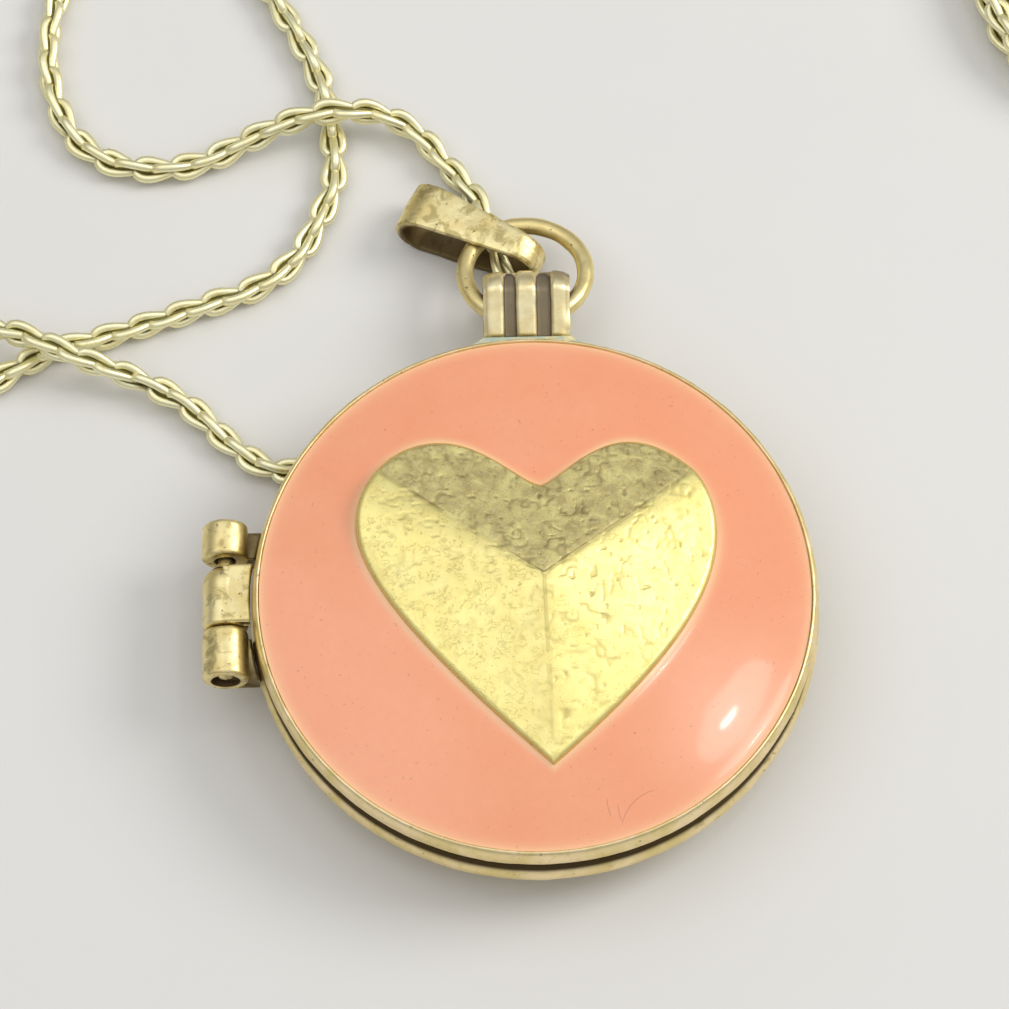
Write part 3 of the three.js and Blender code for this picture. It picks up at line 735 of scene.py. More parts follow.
# Each half of the outline: Bezier runs, a line of points to each, from the cleft over a lobe to
# its shoulder, where the flat top facet ends, and then round the side and down to the tip.
LEFT_SHOULDER, RIGHT_SHOULDER = (-8.8, 7.1), (9.15, 6.65)
HEART_LEFT = [
    HEART_CLEFT, (-0.7, 6.15), (-2.6, 8.85),
    (-5.2, 8.95), (-6.6, 9.0), (-7.9, 8.3),
    LEFT_SHOULDER, (-9.6, 6.1), (-10.05, 5.0),
    (-9.95, 3.6), (-9.8, 0.9), (-7.0, -3.5),
    HEART_TIP,
]
HEART_RIGHT = [
    HEART_CLEFT, (1.2, 6.0), (3.2, 8.75),
    (5.4, 8.75), (6.9, 8.75), (8.2, 7.7),
    RIGHT_SHOULDER, (10.0, 5.5), (10.35, 4.0),
    (10.2, 2.5), (9.9, -0.5), (8.0, -4.5),
    HEART_TIP,
]
RUN_STEPS = (60, 36, 44, 120)


def heart_outline():
    """The outline anticlockwise from the cleft, and which columns are its corners."""
    halves = []
    for given in np.array((HEART_LEFT, HEART_RIGHT)):
        runs = []
        for i, steps in enumerate(RUN_STEPS):
            a, b, c, d = given[3 * i : 3 * i + 4]
            t = np.linspace(0, 1, steps, endpoint=False)[:, None]
            runs.append((1 - t) ** 3 * a + 3 * t * (1 - t) ** 2 * b + 3 * t * t * (1 - t) * c + t**3 * d)
        halves.append(np.vstack(runs))
    left, right = halves
    outline = np.vstack([left, [HEART_TIP], right[:0:-1]])
    tip_at = len(left)
    shoulder = RUN_STEPS[0] + RUN_STEPS[1]
    corners = (0, shoulder, tip_at, 2 * tip_at - shoulder)
    return outline, corners


def heart_edge(outline):
    """Edge height: flat across the top facet, easing down to a low wall round the sides."""
    y = outline[:, 1]
    flat = HEART_APEX[2] - HEART_TOP_SLOPE * (y - HEART_APEX[1])
    low = enamel_top(np.linalg.norm(outline, axis=1)) + HEART_WALL
    shoulder = np.where(outline[:, 0] < 0, LEFT_SHOULDER[1], RIGHT_SHOULDER[1])
    return low + (flat - low) * np.clip((y - EASE_TO_Y) / (shoulder - EASE_TO_Y), 0, 1) ** 2


def heart():
    outline, corners = heart_outline()
    edge = heart_edge(outline)
    count = len(outline)
    rows = 116
    share = np.linspace(0, 1, rows + 1)[1:]
    spread = outline - HEART_APEX[:2]
    reach = np.linalg.norm(spread, axis=1)
    soft = 0.28
    flat_share = share[:, None] * (1 - soft / reach)[None]
    top = np.empty((rows, count, 3))
    top[..., :2] = HEART_APEX[:2] + flat_share[..., None] * spread[None]
    top[..., 2] = HEART_APEX[2] + flat_share * (edge - HEART_APEX[2])[None]

    # Ridges: slightly rubbed, and not quite straight.
    column = np.arange(count)
    from_ridge = np.full((rows, count), 9.0)
    for corner in corners[1:]:
        way = spread[corner] / reach[corner]
        offset = top[..., :2] - HEART_APEX[:2]
        from_ridge = np.minimum(
            from_ridge,
            np.where(offset @ way > 0, np.abs(offset[..., 0] * way[1] - offset[..., 1] * way[0]), 9.0),
        )
    flat = top.reshape(-1, 3)
    rub = np.exp(-((from_ridge / 0.16) ** 2)).ravel()
    pits = squiggles(flat, 0.5, 0.10, 21)
    specks = np.clip((grain(flat, 0.3, 25) - 0.8) / 0.08, 0, 1)
    swell = (grain(flat, 2.6, 23) - 0.5) * 0.08 + (grain(flat, 0.9, 24) - 0.5) * 0.022
    inland = smooth(np.repeat(share, count), 1.0, 0.9)
    flat[:, 2] += (swell - 0.025 * pits - 0.03 * specks) * inland - 0.02 * rub

    # The rounded edge, the wall, and the underside that lies on the enamel.
    lower, gap = [], 0.02
    for turn in np.radians((22, 45, 68, 90)):
        inset = soft * (1 - math.sin(turn))
        plan = HEART_APEX[:2] + (1 - inset / reach)[:, None] * spread
        lower.append(np.c_[plan, edge - 0.25 * (1 - math.cos(turn))])
    for inward in (1.0, 0.92, 0.75, 0.5, 0.25):
        plan = HEART_APEX[:2] + inward * spread
        lower.append(np.c_[plan, enamel_top(np.linalg.norm(plan, axis=1)) + gap])
    points = np.vstack([flat, *lower])
    peak, under = HEART_APEX - (0, 0, 0.05), (*HEART_APEX[:2], enamel_top(0.2) + gap)
    piece = capped("heart_relief_fine", points, count, peak, under, HEART_BRASS, flip=True)

    top_facet = (column <= corners[1]) | (column >= corners[3])
    left_facet = (column > corners[1]) & (column <= corners[2])
    # Painted shade with some patina: 1 on the top facet, which faces away from the lamps, a little on the
    # left one, and none on the right.
    facet_patina_and_shade = np.where(top_facet, 1.0, np.where(left_facet, 0.16, 0.0))
    give(piece, "facet_patina_and_shade", np.tile(facet_patina_and_shade, rows))
    ridge_line = np.exp(-(((from_ridge - 0.05) / 0.07) ** 2)).ravel() * (grain(flat, 0.7, 27) > 0.45)
    kept = np.where(left_facet, 0.4, 1.0)[None] * np.ones((rows, 1))
    dark = kept.ravel() * (0.7 * pits + 0.7 * specks) + 0.8 * ridge_line
    give(piece, "pit", np.clip(dark, 0, 1))
    put(piece, "heart_relief")


def enamel():
    outline = heart_outline()[0]
    count = len(outline)
    spread = outline - HEART_APEX[:2]
    reach = np.linalg.norm(spread, axis=1)
    way = unit(spread)
    along = way @ HEART_APEX[:2]
    to_rim = -along + np.sqrt(along**2 + ENAMEL_R**2 - HEART_APEX[:2] @ HEART_APEX[:2])
    rows, creep = [], []
    hidden = (0.2, 0.5, 0.8, 1.0)
    for share in hidden:
        rows.append(HEART_APEX[:2] + way * (share * reach - 0.01 * (share == 1.0))[:, None])
        creep.append(np.zeros(count))
    gap = to_rim - reach - 0.01
    for share in np.linspace(0, 1, 84):
        eased = 0.5 - 0.5 * math.cos(math.pi * share)
        distance = 0.35 * share * gap + 0.65 * eased * gap
        rows.append(HEART_APEX[:2] + way * (reach + 0.01 + distance)[:, None])
        creep.append(np.exp(-((distance / 0.36) ** 2)) + np.exp(-(gap - distance) / 0.24))
    xy = np.vstack(rows)
    creep = np.concatenate(creep)
    height = enamel_top(np.linalg.norm(xy, axis=1)) + 0.035 * np.minimum(creep, 1)
    flat = np.c_[xy, np.zeros(len(xy))]
    height += (grain(flat, 4.5, 31) - 0.5) * 0.03 + (grain(flat, 1.2, 32) - 0.5) * 0.003
    height[: len(hidden) * count] -= 0.05
    points = [np.c_[xy, height]]
    over_plate = 0.06
    for radius, z in ((ENAMEL_R, 5.66), *((r, plate_top(r) + over_plate) for r in (14.9, 8.0))):
        points.append(np.c_[xy[-count:] * radius / ENAMEL_R, np.full(count, z)])
    top, under = (*HEART_APEX[:2], 7.2), (0, 0, plate_top(0) + over_plate)
    piece = capped("coral_enamel_fine", np.vstack(points), count, top, under, ENAMEL, flip=True)
    give(piece, "creep", np.minimum(creep, 1))
    put(piece, "coral_enamel")


# ---- hinge

HINGE_X, HINGE_Z = -17.4, 4.22
KNUCKLE_R, BORE_R, PIN_R = 1.3, 0.47, 0.42
MOUTH_R = 0.82  # the lower knuckle is opened out where the pin went in


def about_hinge(name, profile, finish, closed=True):
    """A surface of revolution about the hinge's axis, which lies along Y."""
    return laid(turned(name, profile, finish, 56, closed), (1, 2, 0), (HINGE_X, 0, HINGE_Z))


def leaf(name, start, stop, low, high, finish):
    """The plate from a knuckle's barrel to the rim, with its end following the rim."""
    ends, soft = np.array([0, 0.04, 0.12, 0.22]), 0.16
    y = np.concatenate([start + ends, np.linspace(start + 0.4, stop - 0.4, 5), stop - ends[::-1]])
    tuck = soft - np.sqrt(soft**2 - (soft - np.minimum(ends, soft)) ** 2)
    tuck = np.concatenate([tuck, np.zeros(5), tuck[::-1]])
    outline = rounded([(0, 0), (1, 0), (1, 1), (0, 1)], 0.12)
    sections = []
    for at, inset in zip(y, tuck):
        far = -math.sqrt((LOCKET_R + 0.02) ** 2 - at**2)
        near = HINGE_X - 0.1
        x = near + outline[:, 0] * (far - near)
        z = low + inset + outline[:, 1] * (high - low - 2 * inset)
        sections.append(np.c_[x, np.full(len(x), at), z])
    size = len(outline)
    points = np.vstack(sections)
    faces = grid_faces(len(sections), size)
    faces.append(tuple(range(size)))
    last = (len(sections) - 1) * size
    faces.append(tuple(range(last, last + size))[::-1])
    return make_mesh(name, points, faces, finish)


def knuckle_outline(which, start, stop):
    """A barrel's section, from the bore out and back: the middle one has a rounder upper
    corner, and the lower one an opened mouth."""
    per_corner, corner_r, top_inset = 7, 0.3, 0.4
    corners = [(BORE_R, start), (KNUCKLE_R, start), (KNUCKLE_R, stop), (BORE_R, stop)]
    bottom_inner, bottom, top, top_inner = np.split(rounded(corners, corner_r, per_corner), 4)
    if which == "middle":
        top = arc((KNUCKLE_R - 0.8, stop - 0.9), (0.8, 0.9), 0, 90, per_corner)
        top_inset = 1.0
    if which == "lower":
        bottom_inner = [
            (BORE_R, start + 0.62), (MOUTH_R - 0.05, start + 0.55), (MOUTH_R, start + 0.45),
            (MOUTH_R, start + 0.03), (MOUTH_R + 0.05, start),
        ]
    side = np.c_[np.full(6, KNUCKLE_R), np.linspace(start + 0.4, stop - top_inset, 6)]
    return np.vstack([bottom_inner, bottom, side, top, top_inner])


def knuckle(which, leaf_low, leaf_high, leaf_inset, seed):
    node = f"hinge_knuckle_{which}"
    start, stop = ends_of(node, 1)
    barrel = about_hinge(node + "_barrel", knuckle_outline(which, start, stop), HINGE_BRASS)
    ends = start + leaf_inset, stop - leaf_inset
    plate = leaf(node + "_leaf", *ends, leaf_low, leaf_high, HINGE_BRASS)
    piece = joined(node + "_fine", [barrel, plate])
    x, y, z = points_of(piece).T
    # Painted shade inside the lower knuckle's mouth, and painted shadow of the rim on the upper and lower
    # leaves.
    in_mouth = (np.hypot(x - HINGE_X, z - HINGE_Z) < MOUTH_R + 0.03) & (y > start + 0.02)
    shade_under_rim = 0.75 * smooth(x, HINGE_X + 1.2, HINGE_X + 1.6) * (which != "middle")
    give(piece, "dark", np.maximum(in_mouth, shade_under_rim))
    put(worn(piece, 0.03, 0.8, seed), node)


def hinge_pin():
    start, stop = ends_of("hinge_pin", 1)
    dome_h = 0.1
    bottom = arc((0, start + dome_h), (PIN_R, dome_h), -90, 0, 6)
    top = arc((0, stop - dome_h), (PIN_R, dome_h), 0, 90, 6)
    pin = about_hinge("hinge_pin_fine", np.vstack([bottom, top]), STAINED_BRASS, closed=False)
    put(pin, "hinge_pin")


def hinge():
    for which in ("upper", "lower"):
        knuckle(which, leaf_low=2.45, leaf_high=3.95, leaf_inset=0.25, seed=45)
    knuckle("middle", leaf_low=4.6, leaf_high=5.5, leaf_inset=0.06, seed=46)
    hinge_pin()


# ---- loop, ring and bail

RING_MIDDLE_R, RING_WIRE_R = 3.5, 0.5
RING_SLOPE = math.radians(12.6)
RING_SWING = math.radians(30)
RING_PIVOT = np.array([18.0, 3.75])  # Y and Z
RIBS = ((-2.5, -1.25), (-0.65, 0.62), (1.35, 2.5))
RIB_R, GROOVE_R = 1.7, 1.35
GROOVES = [(a[1], b[0]) for a, b in zip(RIBS, RIBS[1:])]
LOOP_HALF = RIBS[-1][1]
LOOP_ROUND_Y = 19.3  # middle of the loop's round far end
LOOP_NECK = np.array([16.77, 3.25])  # Y and Z where the loop meets its foot


def rib_height(x):
    """1 on a rib and 0 in a groove, with rounded shoulders."""
    height = np.zeros_like(x)
    for start, stop in RIBS:
        down = 1 - np.clip(np.minimum(x - start, stop - x) / 0.5, 0, 1)
        height = np.maximum(height, np.sqrt(np.clip(1 - down**2, 0, 1)))
    return height


def loop_outline(radius):
    """The loop from the side, in Y and Z, with its round end of this radius."""
    half = radius - 0.75
    bend = arc((LOOP_ROUND_Y, RING_PIVOT[1]), (radius, radius), -90, 90, 34)
    neck = np.c_[np.full(9, LOOP_NECK[0]), LOOP_NECK[1] + np.linspace(half, -half, 9)]
    upper = np.linspace(bend[-1], neck[0], 14)[1:-1]
    lower = np.linspace(neck[-1], bend[0], 14)[1:-1]
    return np.vstack([bend, upper, neck, lower])


def loop_hole(outline):
    """The hole, a point for each of the outline's: all that the swinging wire sweeps."""
    middle, clear = RING_PIVOT + (0.55, 0.04), RING_WIRE_R + 0.12
    swing = np.linspace(-RING_SLOPE, RING_SWING - RING_SLOPE, 9)
    wire = np.vstack([[(0, 0), (0.5, 0)], 1.07 * np.c_[np.cos(swing), np.sin(swing)]])
    way = unit(outline - middle)
    depth = np.zeros(len(outline))
    for centre in wire + RING_PIVOT - middle:
        to_centre = way @ centre
        inside = clear**2 - centre @ centre + to_centre**2
        depth = np.maximum(depth, to_centre + np.sqrt(np.maximum(inside, 0)))
    return middle + way * depth[:, None]


def loop_stations():
    """Where along X the loop has a section: close together at the ribs' shoulders."""
    close = np.array([0.0, 0.02, 0.06, 0.12, 0.2, 0.3])
    x = [np.concatenate([start + close, stop - close]) for start, stop in RIBS]
    x += [low + np.array((0.2, 0.45, 0.7)) * (high - low) for low, high in GROOVES]
    return np.unique(np.round(np.concatenate(x), 4))


def ribbed_loop():
    ribbed, grooved = loop_outline(RIB_R), loop_outline(GROOVE_R)
    x = loop_stations()
    size = len(ribbed)
    # Round the far end the grooves run shallower, so that its edge is only wavy.
    turn = np.degrees(np.arctan2(ribbed[:, 1] - RING_PIVOT[1], ribbed[:, 0] - LOOP_ROUND_Y))
    rising = smooth(turn, -80, -20) * (ribbed[:, 0] > LOOP_ROUND_Y - 0.01)
    bend, shaded = rising * (1 - smooth(turn, 28, 66)), rising * (1 - smooth(turn, 40, 75))
    sections, tall, dark = [], [], []
    for at, rise in zip(x, rib_height(x)):
        from_end = LOOP_HALF - abs(at)
        pale = 1.0 if from_end < 0.4 else rise
        edge = smooth(from_end, 0, 0.55)
        rise = np.maximum(rise * (0.25 + 0.75 * edge), 0.6 * bend * edge)
        sections.append(np.c_[np.full(size, at), grooved + (ribbed - grooved) * rise[:, None]])
        band = any(low + 0.05 < at < high - 0.05 for low, high in GROOVES)
        tall.append(np.maximum(pale, bend) - (0.5 if band else 0))
        # Painted shadow: the bail's shadow on the round end of the right rib.
        dark.append(0.75 * shaded * smooth(at, 0.7, 1.3))
    hole = loop_hole(grooved)
    for at in x[::-1]:
        sections.append(np.c_[np.full(size, at), hole])
        tall.append(np.zeros(size))
        # Painted shade inside the hole.
        dark.append(np.ones(size))
    faces = grid_faces(len(sections), size, wrap_rows=True, flip=True)
    piece = make_mesh("ribbed_loop_fine", np.vstack(sections), faces, LOOP_BRASS)
    give(piece, "rib", np.concatenate(tall))
    give(piece, "dark", np.concatenate(dark))
    put(worn(piece, 0.035, 0.8, 51), "ribbed_loop")


def jump_ring():
    turn = full_turn(160)
    flat = RING_MIDDLE_R * (1 + np.cos(turn))
    line = np.c_[
        RING_MIDDLE_R * np.sin(turn),
        RING_PIVOT[0] + flat * math.cos(RING_SLOPE),
        RING_PIVOT[1] - flat * math.sin(RING_SLOPE),
    ]
    piece = wire_ring("jump_ring_fine", line, RING_WIRE_R, RING_BRASS, 28)
    put(worn(piece, 0.022, 0.9, 52), "jump_ring")


BAIL_LENGTH, BAIL_HEIGHT, BAIL_WALL = 8.7, 3.4, 0.45
BAIL_TIP = np.array([0.95, 22.45])
BAIL_TURN = math.radians(153.3)


def bail_path():
    """The middle of the folded strip from the side, once round."""
    round_r, half = BAIL_HEIGHT / 2, BAIL_WALL / 2
    mid_r = round_r - half
    far, near = BAIL_LENGTH - round_r, round_r
    top_z = BAIL_HEIGHT - half
    runs = (
        arc((far, round_r), (mid_r, mid_r), -90, 90, 36),
        np.linspace((far, top_z), (near, top_z), 60),
        arc((near, round_r), (mid_r, mid_r), 90, 270, 36),
        np.linspace((near, half), (far, half), 60),
    )
    return np.vstack([run[:-1] for run in runs])


def bail():
    path, half = bail_path(), BAIL_WALL / 2
    ahead = unit(np.roll(path, -1, 0) - np.roll(path, 1, 0))
    outward = np.c_[ahead[:, 1], -ahead[:, 0]]
    tip_half, widening, per_corner = 0.6, 1.03, 5
    half_width = tip_half + (path[:, 0] + 1) / (BAIL_LENGTH + 2) * widening
    section = rounded([(-1, -half), (1, -half), (1, half), (-1, half)], 0.13, per_corner)
    crown_x = np.linspace(0.8, -0.8, 13)
    crown = np.c_[crown_x, half + 0.06 * (1 - crown_x**2)]
    outer_face = 3 * per_corner  # which follows the third corner
    section = np.vstack([section[:outer_face], crown, section[outer_face:]])
    wide = section[:, 0][None] * half_width[:, None]
    corner = np.abs(section[:, 0]) > 0.85
    wide[:, corner] = np.sign(section[corner, 0]) * (half_width[:, None] - (1 - np.abs(section[corner, 0])))
    out = section[:, 1][None]
    s = path[:, :1] + outward[:, :1] * out
    z = path[:, 1:] + outward[:, 1:] * out
    cos, sin = math.cos(BAIL_TURN), math.sin(BAIL_TURN)
    points = np.stack([
        BAIL_TIP[0] + s * cos - wide * sin,
        BAIL_TIP[1] + s * sin + wide * cos,
        z + 0.05,
    ], -1)
    faces = grid_faces(len(path), len(section), wrap_rows=True)
    piece = make_mesh("bail_fine", points.reshape(-1, 3), faces, BAIL_BRASS)
    # Dark patina and painted shade: the strip's inner faces, and the lower strip, which lies in the bail's
    # shadow.
    inside = section[:, 1] < half - 0.16
    lower = smooth(BAIL_HEIGHT * 0.55 - path[:, 1], 0.0, 1.2)
    dark = np.maximum(np.where(inside, 0.88, 0.0)[None], 0.85 * lower[:, None])
    give(piece, "dark", dark)
    put(worn(piece, 0.035, 1.0, 53), "bail")


# ---- chain ends and clasp

CLASP_Y = 47.9
CAP_R, CAP_LOOP_R, CAP_WIRE_R = 0.95, 0.75, 0.22
END_RING_WIRE_R = 0.3


def leaning_circle(centre, radius, lean, count):
    """A circle that leans from flat, 0, to upright, 90, about a line along X; and its axis."""
    cos, sin, turn = math.cos(math.radians(lean)), math.sin(math.radians(lean)), full_turn(count)
    line = radius * np.c_[np.cos(turn), np.sin(turn) * cos, np.sin(turn) * sin] + centre
    return line, (0, -sin, cos)


def put_gold(piece, node):
    give(piece, "out", np.ones(len(piece.data.vertices)))
    put(piece, node)


def end_cap(end, start, stop, loop_x, lean):
    """A cap on the chain's end, and the small wire loop on it."""
    tiny, node = 0.001, f"end_cap_{end}"
    outline = rounded([(tiny, start), (CAP_R, start), (CAP_R, stop), (tiny, stop)], 0.22, 6)
    barrel = laid(turned(node + "_barrel", outline, CHAIN_GOLD, 40), (2, 0, 1), (0, CLASP_Y, CAP_R))
    line, axis = leaning_circle((loop_x, CLASP_Y, 1.45), CAP_LOOP_R, lean, 40)
    loop = wire_ring(node + "_loop", line, CAP_WIRE_R, CHAIN_GOLD, 14, axis)
    put_gold(joined(node + "_fine", [barrel, loop]), node)


def end_ring(end, x, radius, lean):
    """A ring that leans on the clasp or the cap, with its lower side on the table."""
    height = radius * math.sin(math.radians(lean)) + END_RING_WIRE_R + 0.03
    line, axis = leaning_circle((x, CLASP_Y, height), radius, lean, 72)
    node = f"end_ring_{end}"
    put_gold(wire_ring(node + "_fine", line, END_RING_WIRE_R, CHAIN_GOLD, 18, axis), node)


def chain_ends():
    end_cap("b", 3.4, 6.1, 6.85, 90)
    end_cap("a", 21.2, 23.0, 20.45, 0)
    end_ring("a", 19.1, 1.5, 70)
    end_ring("b", 8.8, 1.9, 40)


def finished(node, finish):
    """A CAD node that is shown itself, given its finish."""
    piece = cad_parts[node]
    piece.data.materials.clear()
    piece.data.materials.append(finish)
    return piece


def bevelled(node, width, finish, segments=3):
    soften = finished(node, finish).modifiers.new("soft edges", "BEVEL")
    soften.width = width * MM
    soften.segments = segments
    soften.limit_method = "ANGLE"


def cast(node, finish):
    """Cast metal: every edge of the CAD shape is rounded over, as tumbling leaves it."""
    piece = finished(node, finish)
    even = piece.modifiers.new("even mesh", "REMESH")
    even.mode = "VOXEL"
    even.voxel_size = 0.1 * MM
    even.use_smooth_shade = True
    tumble = piece.modifiers.new("tumbled", "SMOOTH")
    tumble.factor = 0.5
    tumble.iterations = 7


def small_parts():
    bevelled("loop_foot", 0.14, FOOT_BRASS, 4)
    for node in ("catch_ledge", "catch_tongue"):
        bevelled(node, 0.08, BRASS)
    for node in ("clasp_body", "clasp_lever"):
        cast(node, CLASP_GOLD)
    for node in ("clasp_rivet", "clasp_spring"):
        bevelled(node, 0.03, STEEL)


back_shell()
back_rim()
front_cover()
front_rim()
photo_pieces()
heart()
enamel()
hinge()
ribbed_loop()
jump_ring()
bail()
chain_ends()
small_parts()


# ---- chain

CHAIN_D = 1.4
TABLE_Z = CHAIN_D / 2
LINK_PITCH = 2.25  # from one link to the next in the same plane
LINK_LENGTH = 3.3
WIRE_R = 0.255
LINK_HALF = 0.82  # the links stand a little proud of the strand's nominal radius
LINK_LIFT = 0.08  # so that the proud links stay above the table
CORE_R = 0.36
NEAR_LENGTH = 31.0  # the stretch from the bail, made as a piece of its own
COIL_LOW, COIL_HIGH = low_high("chain_coil")
COIL_CENTRE = (COIL_LOW + COIL_HIGH)[:2] / 2
COIL_OUTER_R = float(COIL_HIGH[0] - COIL_CENTRE[0])
COIL_TURNS_ACROSS = 3
LEAVE_COIL_AT = -170  # degrees, counted down from where the chain comes in, at 90

# The strands' routes, listed point by point; z is left out where the chain lies on the table.
CHAIN_A = [
    (-1.7, 24.0, 1.22), (-2.1, 25.4, 1.2), (-2.6, 26.9, 1.0), (-3.4, 28.3, 0.8),
    (-4.7, 30.0, 0.75), (-6.1, 31.7, 0.95), (-7.9, 32.6, 1.5), (-9.9, 32.7, 2.1),
    (-11.9, 32.5, 2.2), (-14.1, 32.0, 1.8), (-16.4, 31.2, 1.1), (-18.8, 30.2),
    (-21.6, 29.8), (-24.1, 30.3), (-26.2, 31.9), (-27.4, 34.4), (-27.9, 37.8),
    (-27.4, 41.3), (-26.0, 44.3), (-22.6, 46.0), (-18.6, 45.8), (-16.0, 43.8),
    (-14.2, 40.6), (-12.6, 37.5), (-11.6, 34.8), (-11.1, 31.7), (-11.1, 28.6),
    (-12.0, 26.2), (-13.4, 23.7), (-15.7, 21.9), (-18.7, 20.8), (-21.7, 19.8),
    (-24.6, 18.9), (-27.5, 18.1), (-29.5, 17.1), (-31.6, 15.9), (-34.3, 16.0),
    (-36.1, 18.4), (-36.5, 22.5), (-36.5, 30), (-36.5, 38), (-36.1, 43.6),
    (-33.6, 48.2), (-29, 49.9), (-20, 50), (-8, 50.1), (3, 50.9), (12, 51.2), (21, 51),
    (31.4, 50.1),
]
CHAIN_B = [
    (-1.6, 23.6, 1.22), (-1.25, 22.4, 1.15), (-0.9, 21.0, 0.9), (-0.65, 19.4, 0.72),
    (-0.9, 17.8), (-2.1, 16.0), (-4.1, 14.6), (-7.0, 13.0), (-9.9, 11.6), (-12.3, 10.5),
    (-14.2, 10.1), (-15.4, 10.5), (-16.6, 11.4), (-17.7, 12.4), (-18.8, 13.6, 0.75),
    (-20.3, 14.8, 0.9), (-21.9, 15.6, 1.15), (-23.6, 16.3, 1.5), (-25.3, 16.8, 1.95),
    (-27.0, 17.5, 2.2), (-28.8, 18.4, 2.2), (-30.6, 19.0, 1.9), (-32.6, 19.9, 1.3),
    (-34.0, 22.2, 0.8), (-34.5, 25.5), (-34.5, 33), (-34.5, 40), (-33.7, 44.4),
    (-31.0, 47.3), (-27, 47.9), (-18, 47.9), (-8, 47.9), (3.1, 47.9),
]
CHAIN_TAIL = [(27.55, 42.6, 2.1), (26.9, 45.0, 2.0), (26.5, 46.3, 1.6), (25.2, 47.6, 0.95), (23.3, 47.9)]


def through(points):
    """A centripetal Catmull-Rom line through points, in even steps."""
    given = np.array([p if len(p) == 3 else (*p, TABLE_Z) for p in points], float)
    given = np.vstack([2 * given[0] - given[1], given, 2 * given[-1] - given[-2]])
    line = []
    for p0, p1, p2, p3 in zip(given, given[1:], given[2:], given[3:]):
        gaps = (p1 - p0, p2 - p1, p3 - p2)
        t0, t1, t2 = (max(np.linalg.norm(gap) ** 0.5, 1e-4) for gap in gaps)
        m1 = ((p1 - p0) / t0 - (p2 - p0) / (t0 + t1) + (p2 - p1) / t1) * t1
        m2 = ((p2 - p1) / t1 - (p3 - p1) / (t1 + t2) + (p3 - p2) / t2) * t1
        for t in np.linspace(0, 1, 24, endpoint=False):
            line.append(
                (2 * t**3 - 3 * t**2 + 1) * p1 + (t**3 - 2 * t**2 + t) * m1
                + (3 * t**2 - 2 * t**3) * p2 + (t**3 - t**2) * m2
            )
    return evenly(np.vstack([line, given[-2]]))


def length_along(line):
    """How far along the line each of its points is."""
    return np.concatenate([[0], np.cumsum(np.linalg.norm(np.diff(line, axis=0), axis=1))])


def evenly(line, step=0.1):
    """The line again, in even steps of about this length."""
    along = length_along(line)
    wanted = np.linspace(0, along[-1], max(2, round(along[-1] / step)) + 1)
    return np.column_stack([np.interp(wanted, along, line[:, k]) for k in range(3)])


def coil_route():
    """Turns inwards on the table, a step up, and turns outwards on top of them."""
    inwards = list(range(COIL_TURNS_ACROSS))
    radii = [COIL_OUTER_R - CHAIN_D * (row + 0.5) for row in inwards + inwards[::-1]]
    heights = [TABLE_Z] * COIL_TURNS_ACROSS + [TABLE_Z + CHAIN_D] * COIL_TURNS_ACROSS
    per_turn = 24
    total = per_turn * (len(radii) - 1) + round(per_turn * (90 - LEAVE_COIL_AT) / 360)
    points = []
    for i in range(1, total + 1):
        turn, share = divmod(i / per_turn, 1)
        turn = int(turn)
        after = min(turn + 1, len(radii) - 1)
        ease = float(smooth(share, 0.78, 1))
        radius = radii[turn] + (radii[after] - radii[turn]) * ease
        height = heights[turn] + (heights[after] - heights[turn]) * ease
        angle = math.radians(90 - 360 * i / per_turn)
        points.append((
            COIL_CENTRE[0] + radius * math.cos(angle),
            COIL_CENTRE[1] + radius * math.sin(angle),
            height,
        ))
    return points


def on_line(line, along, s):
    """The place and the unit direction ahead at each distance s along a line."""
    inside = np.clip(s, 0, along[-1])
    at = np.stack([np.interp(inside, along, line[:, k]) for k in range(3)], -1)
    ahead = np.stack([np.interp(inside, along, np.gradient(line[:, k], along)) for k in range(3)], -1)
    ahead = unit(ahead)
    return at + ahead * (s - inside)[..., None], ahead


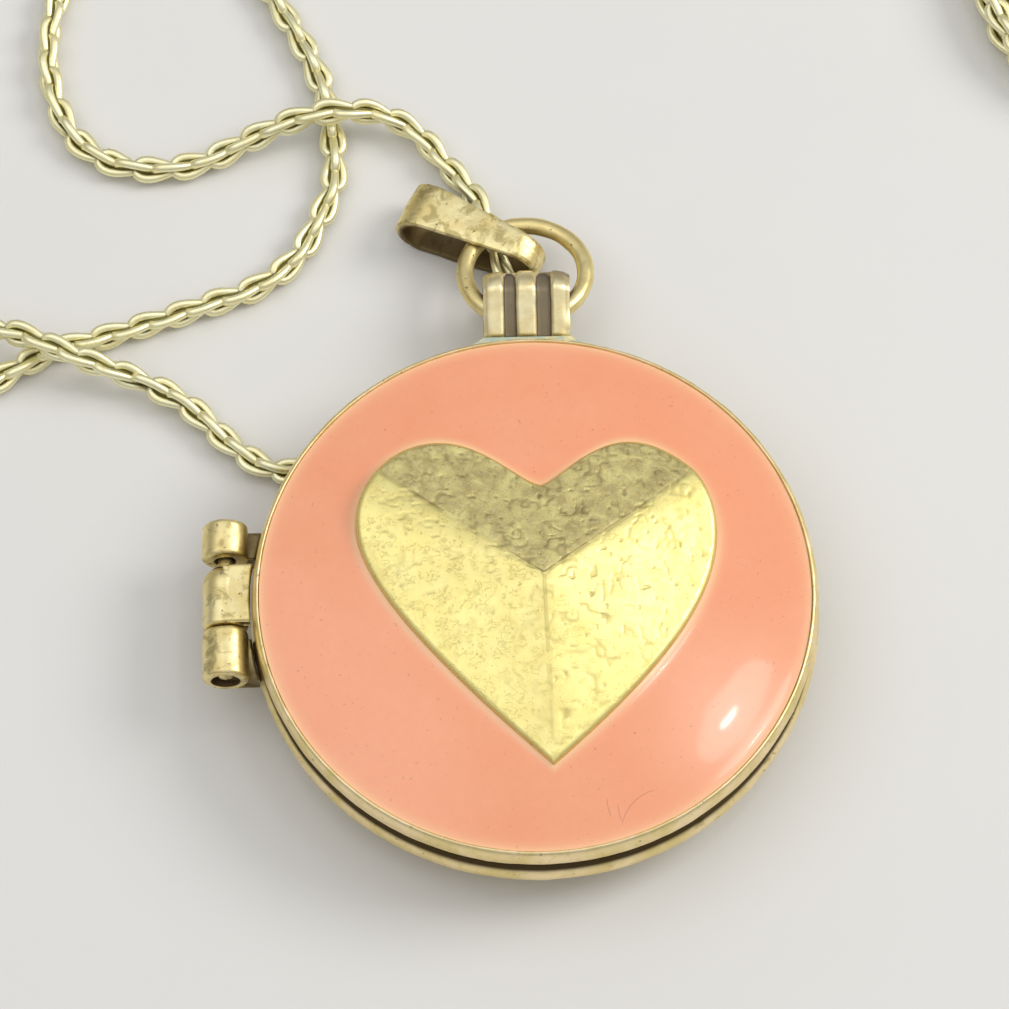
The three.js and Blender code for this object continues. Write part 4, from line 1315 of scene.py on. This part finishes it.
def links(line, along, count, sides, phase):
    """Links in two planes at right angles, each threaded through the one before: their
    points, how far out of the strand each point is, and their faces.
    A link is a wire loop, narrow at its tail and wide and blunt at its head."""
    around = 26
    turn, ring = full_turn(around), full_turn(sides)[:, None]
    reach = (LINK_LENGTH / 2 - WIRE_R) * np.cos(turn)
    taper, widest = 0.85, 1.235  # the tapered sine's highest value
    wide = (LINK_HALF - WIRE_R) * np.sin(turn) * (1.0 + taper * np.cos(turn)) / widest
    s = (np.arange(count) + 0.5)[:, None] * along[-1] / count + reach[None]
    at, ahead = on_line(line, along, s)
    side = unit(np.cross(ahead, (0.0, 0.0, 1.0)))
    over = np.cross(side, ahead)
    uneven = np.random.default_rng(70 + phase).normal(0, 0.07, (count, 1))
    quarter = (np.arange(count) % 2)[:, None] * math.pi / 2
    sway, sway_length = 0.42, 7.0
    twist = (sway + sway * np.sin(s / sway_length + phase) + quarter + uneven)[..., None]
    across = np.cos(twist) * side + np.sin(twist) * over
    flat = np.cross(across, ahead)
    loop = at + across * wide[None, :, None]
    outward = unit(np.cross(unit(np.roll(loop, -1, 1) - np.roll(loop, 1, 1)), flat))
    thick = WIRE_R * (1 + 0.10 * np.cos(turn))[None, :, None, None]
    skin = loop[:, :, None] + thick * (np.cos(ring) * outward[:, :, None] + np.sin(ring) * flat[:, :, None])
    out = np.linalg.norm(np.cross(skin - at[:, :, None], ahead[:, :, None]), axis=-1) / (CHAIN_D / 2)
    one = np.array(grid_faces(around, sides, wrap_rows=True, flip=True))
    faces = (one[None] + (np.arange(count) * around * sides)[:, None, None]).reshape(-1, 4)
    skin = skin.reshape(-1, 3)
    skin[:, 2] = np.maximum(skin[:, 2], 0.005)
    return skin, out.ravel(), faces.tolist()


def core(line, along, count, sides, start):
    """The links' inner wires, hidden in the dark between the outer ones: one plain rod,
    whose points are numbered from start."""
    short = 0.6
    at, ahead = on_line(line, along, np.linspace(short, along[-1] - short, count))
    skin = circles_along(at, ahead, CORE_R, sides).reshape(-1, 3)
    faces = np.array(grid_faces(count, sides, flip=True)) + start
    first = np.arange(start, start + sides)
    last = first + (count - 1) * sides
    return skin, faces.tolist() + [tuple(first[::-1]), tuple(last)]


def foxtail(name, line, phase):
    """A length of woven chain."""
    along, sides = length_along(line), 8
    count = max(2, round(along[-1] / (LINK_PITCH / 2)))
    line = line + (0, 0, LINK_LIFT)
    skin, out, faces = links(line, along, count, sides, phase)
    core_skin, core_faces = core(line, along, count, sides, len(skin))
    piece = make_mesh(name, np.vstack([skin, core_skin]), faces + core_faces, CHAIN_GOLD)
    # The core rod's points get 0 past the end of out, so the material paints the whole rod in crevice
    # shade.
    give(piece, "out", out)
    return piece


def strands():
    routes = {"chain_a": through(CHAIN_A + coil_route() + CHAIN_TAIL), "chain_b": through(CHAIN_B)}
    stands_for = {"chain_a": ("chain_a", "chain_coil", "chain_tail"), "chain_b": ("chain_b",)}
    for index, (name, route) in enumerate(routes.items()):
        along = length_along(route)
        pitch = LINK_PITCH / 2
        split = round(NEAR_LENGTH / pitch) * pitch
        near, far = evenly(route[along <= split]), evenly(route[along >= split])
        for part, line, end in ((f"{name}_at_bail", near, "object"), (name, far, "connector")):
            piece = foxtail(part, line, phase=index)
            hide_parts(*(stands_for[name] if part == name else (part,)))
            if part == name:
                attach(piece, "back")
            else:
                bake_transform(piece)


strands()
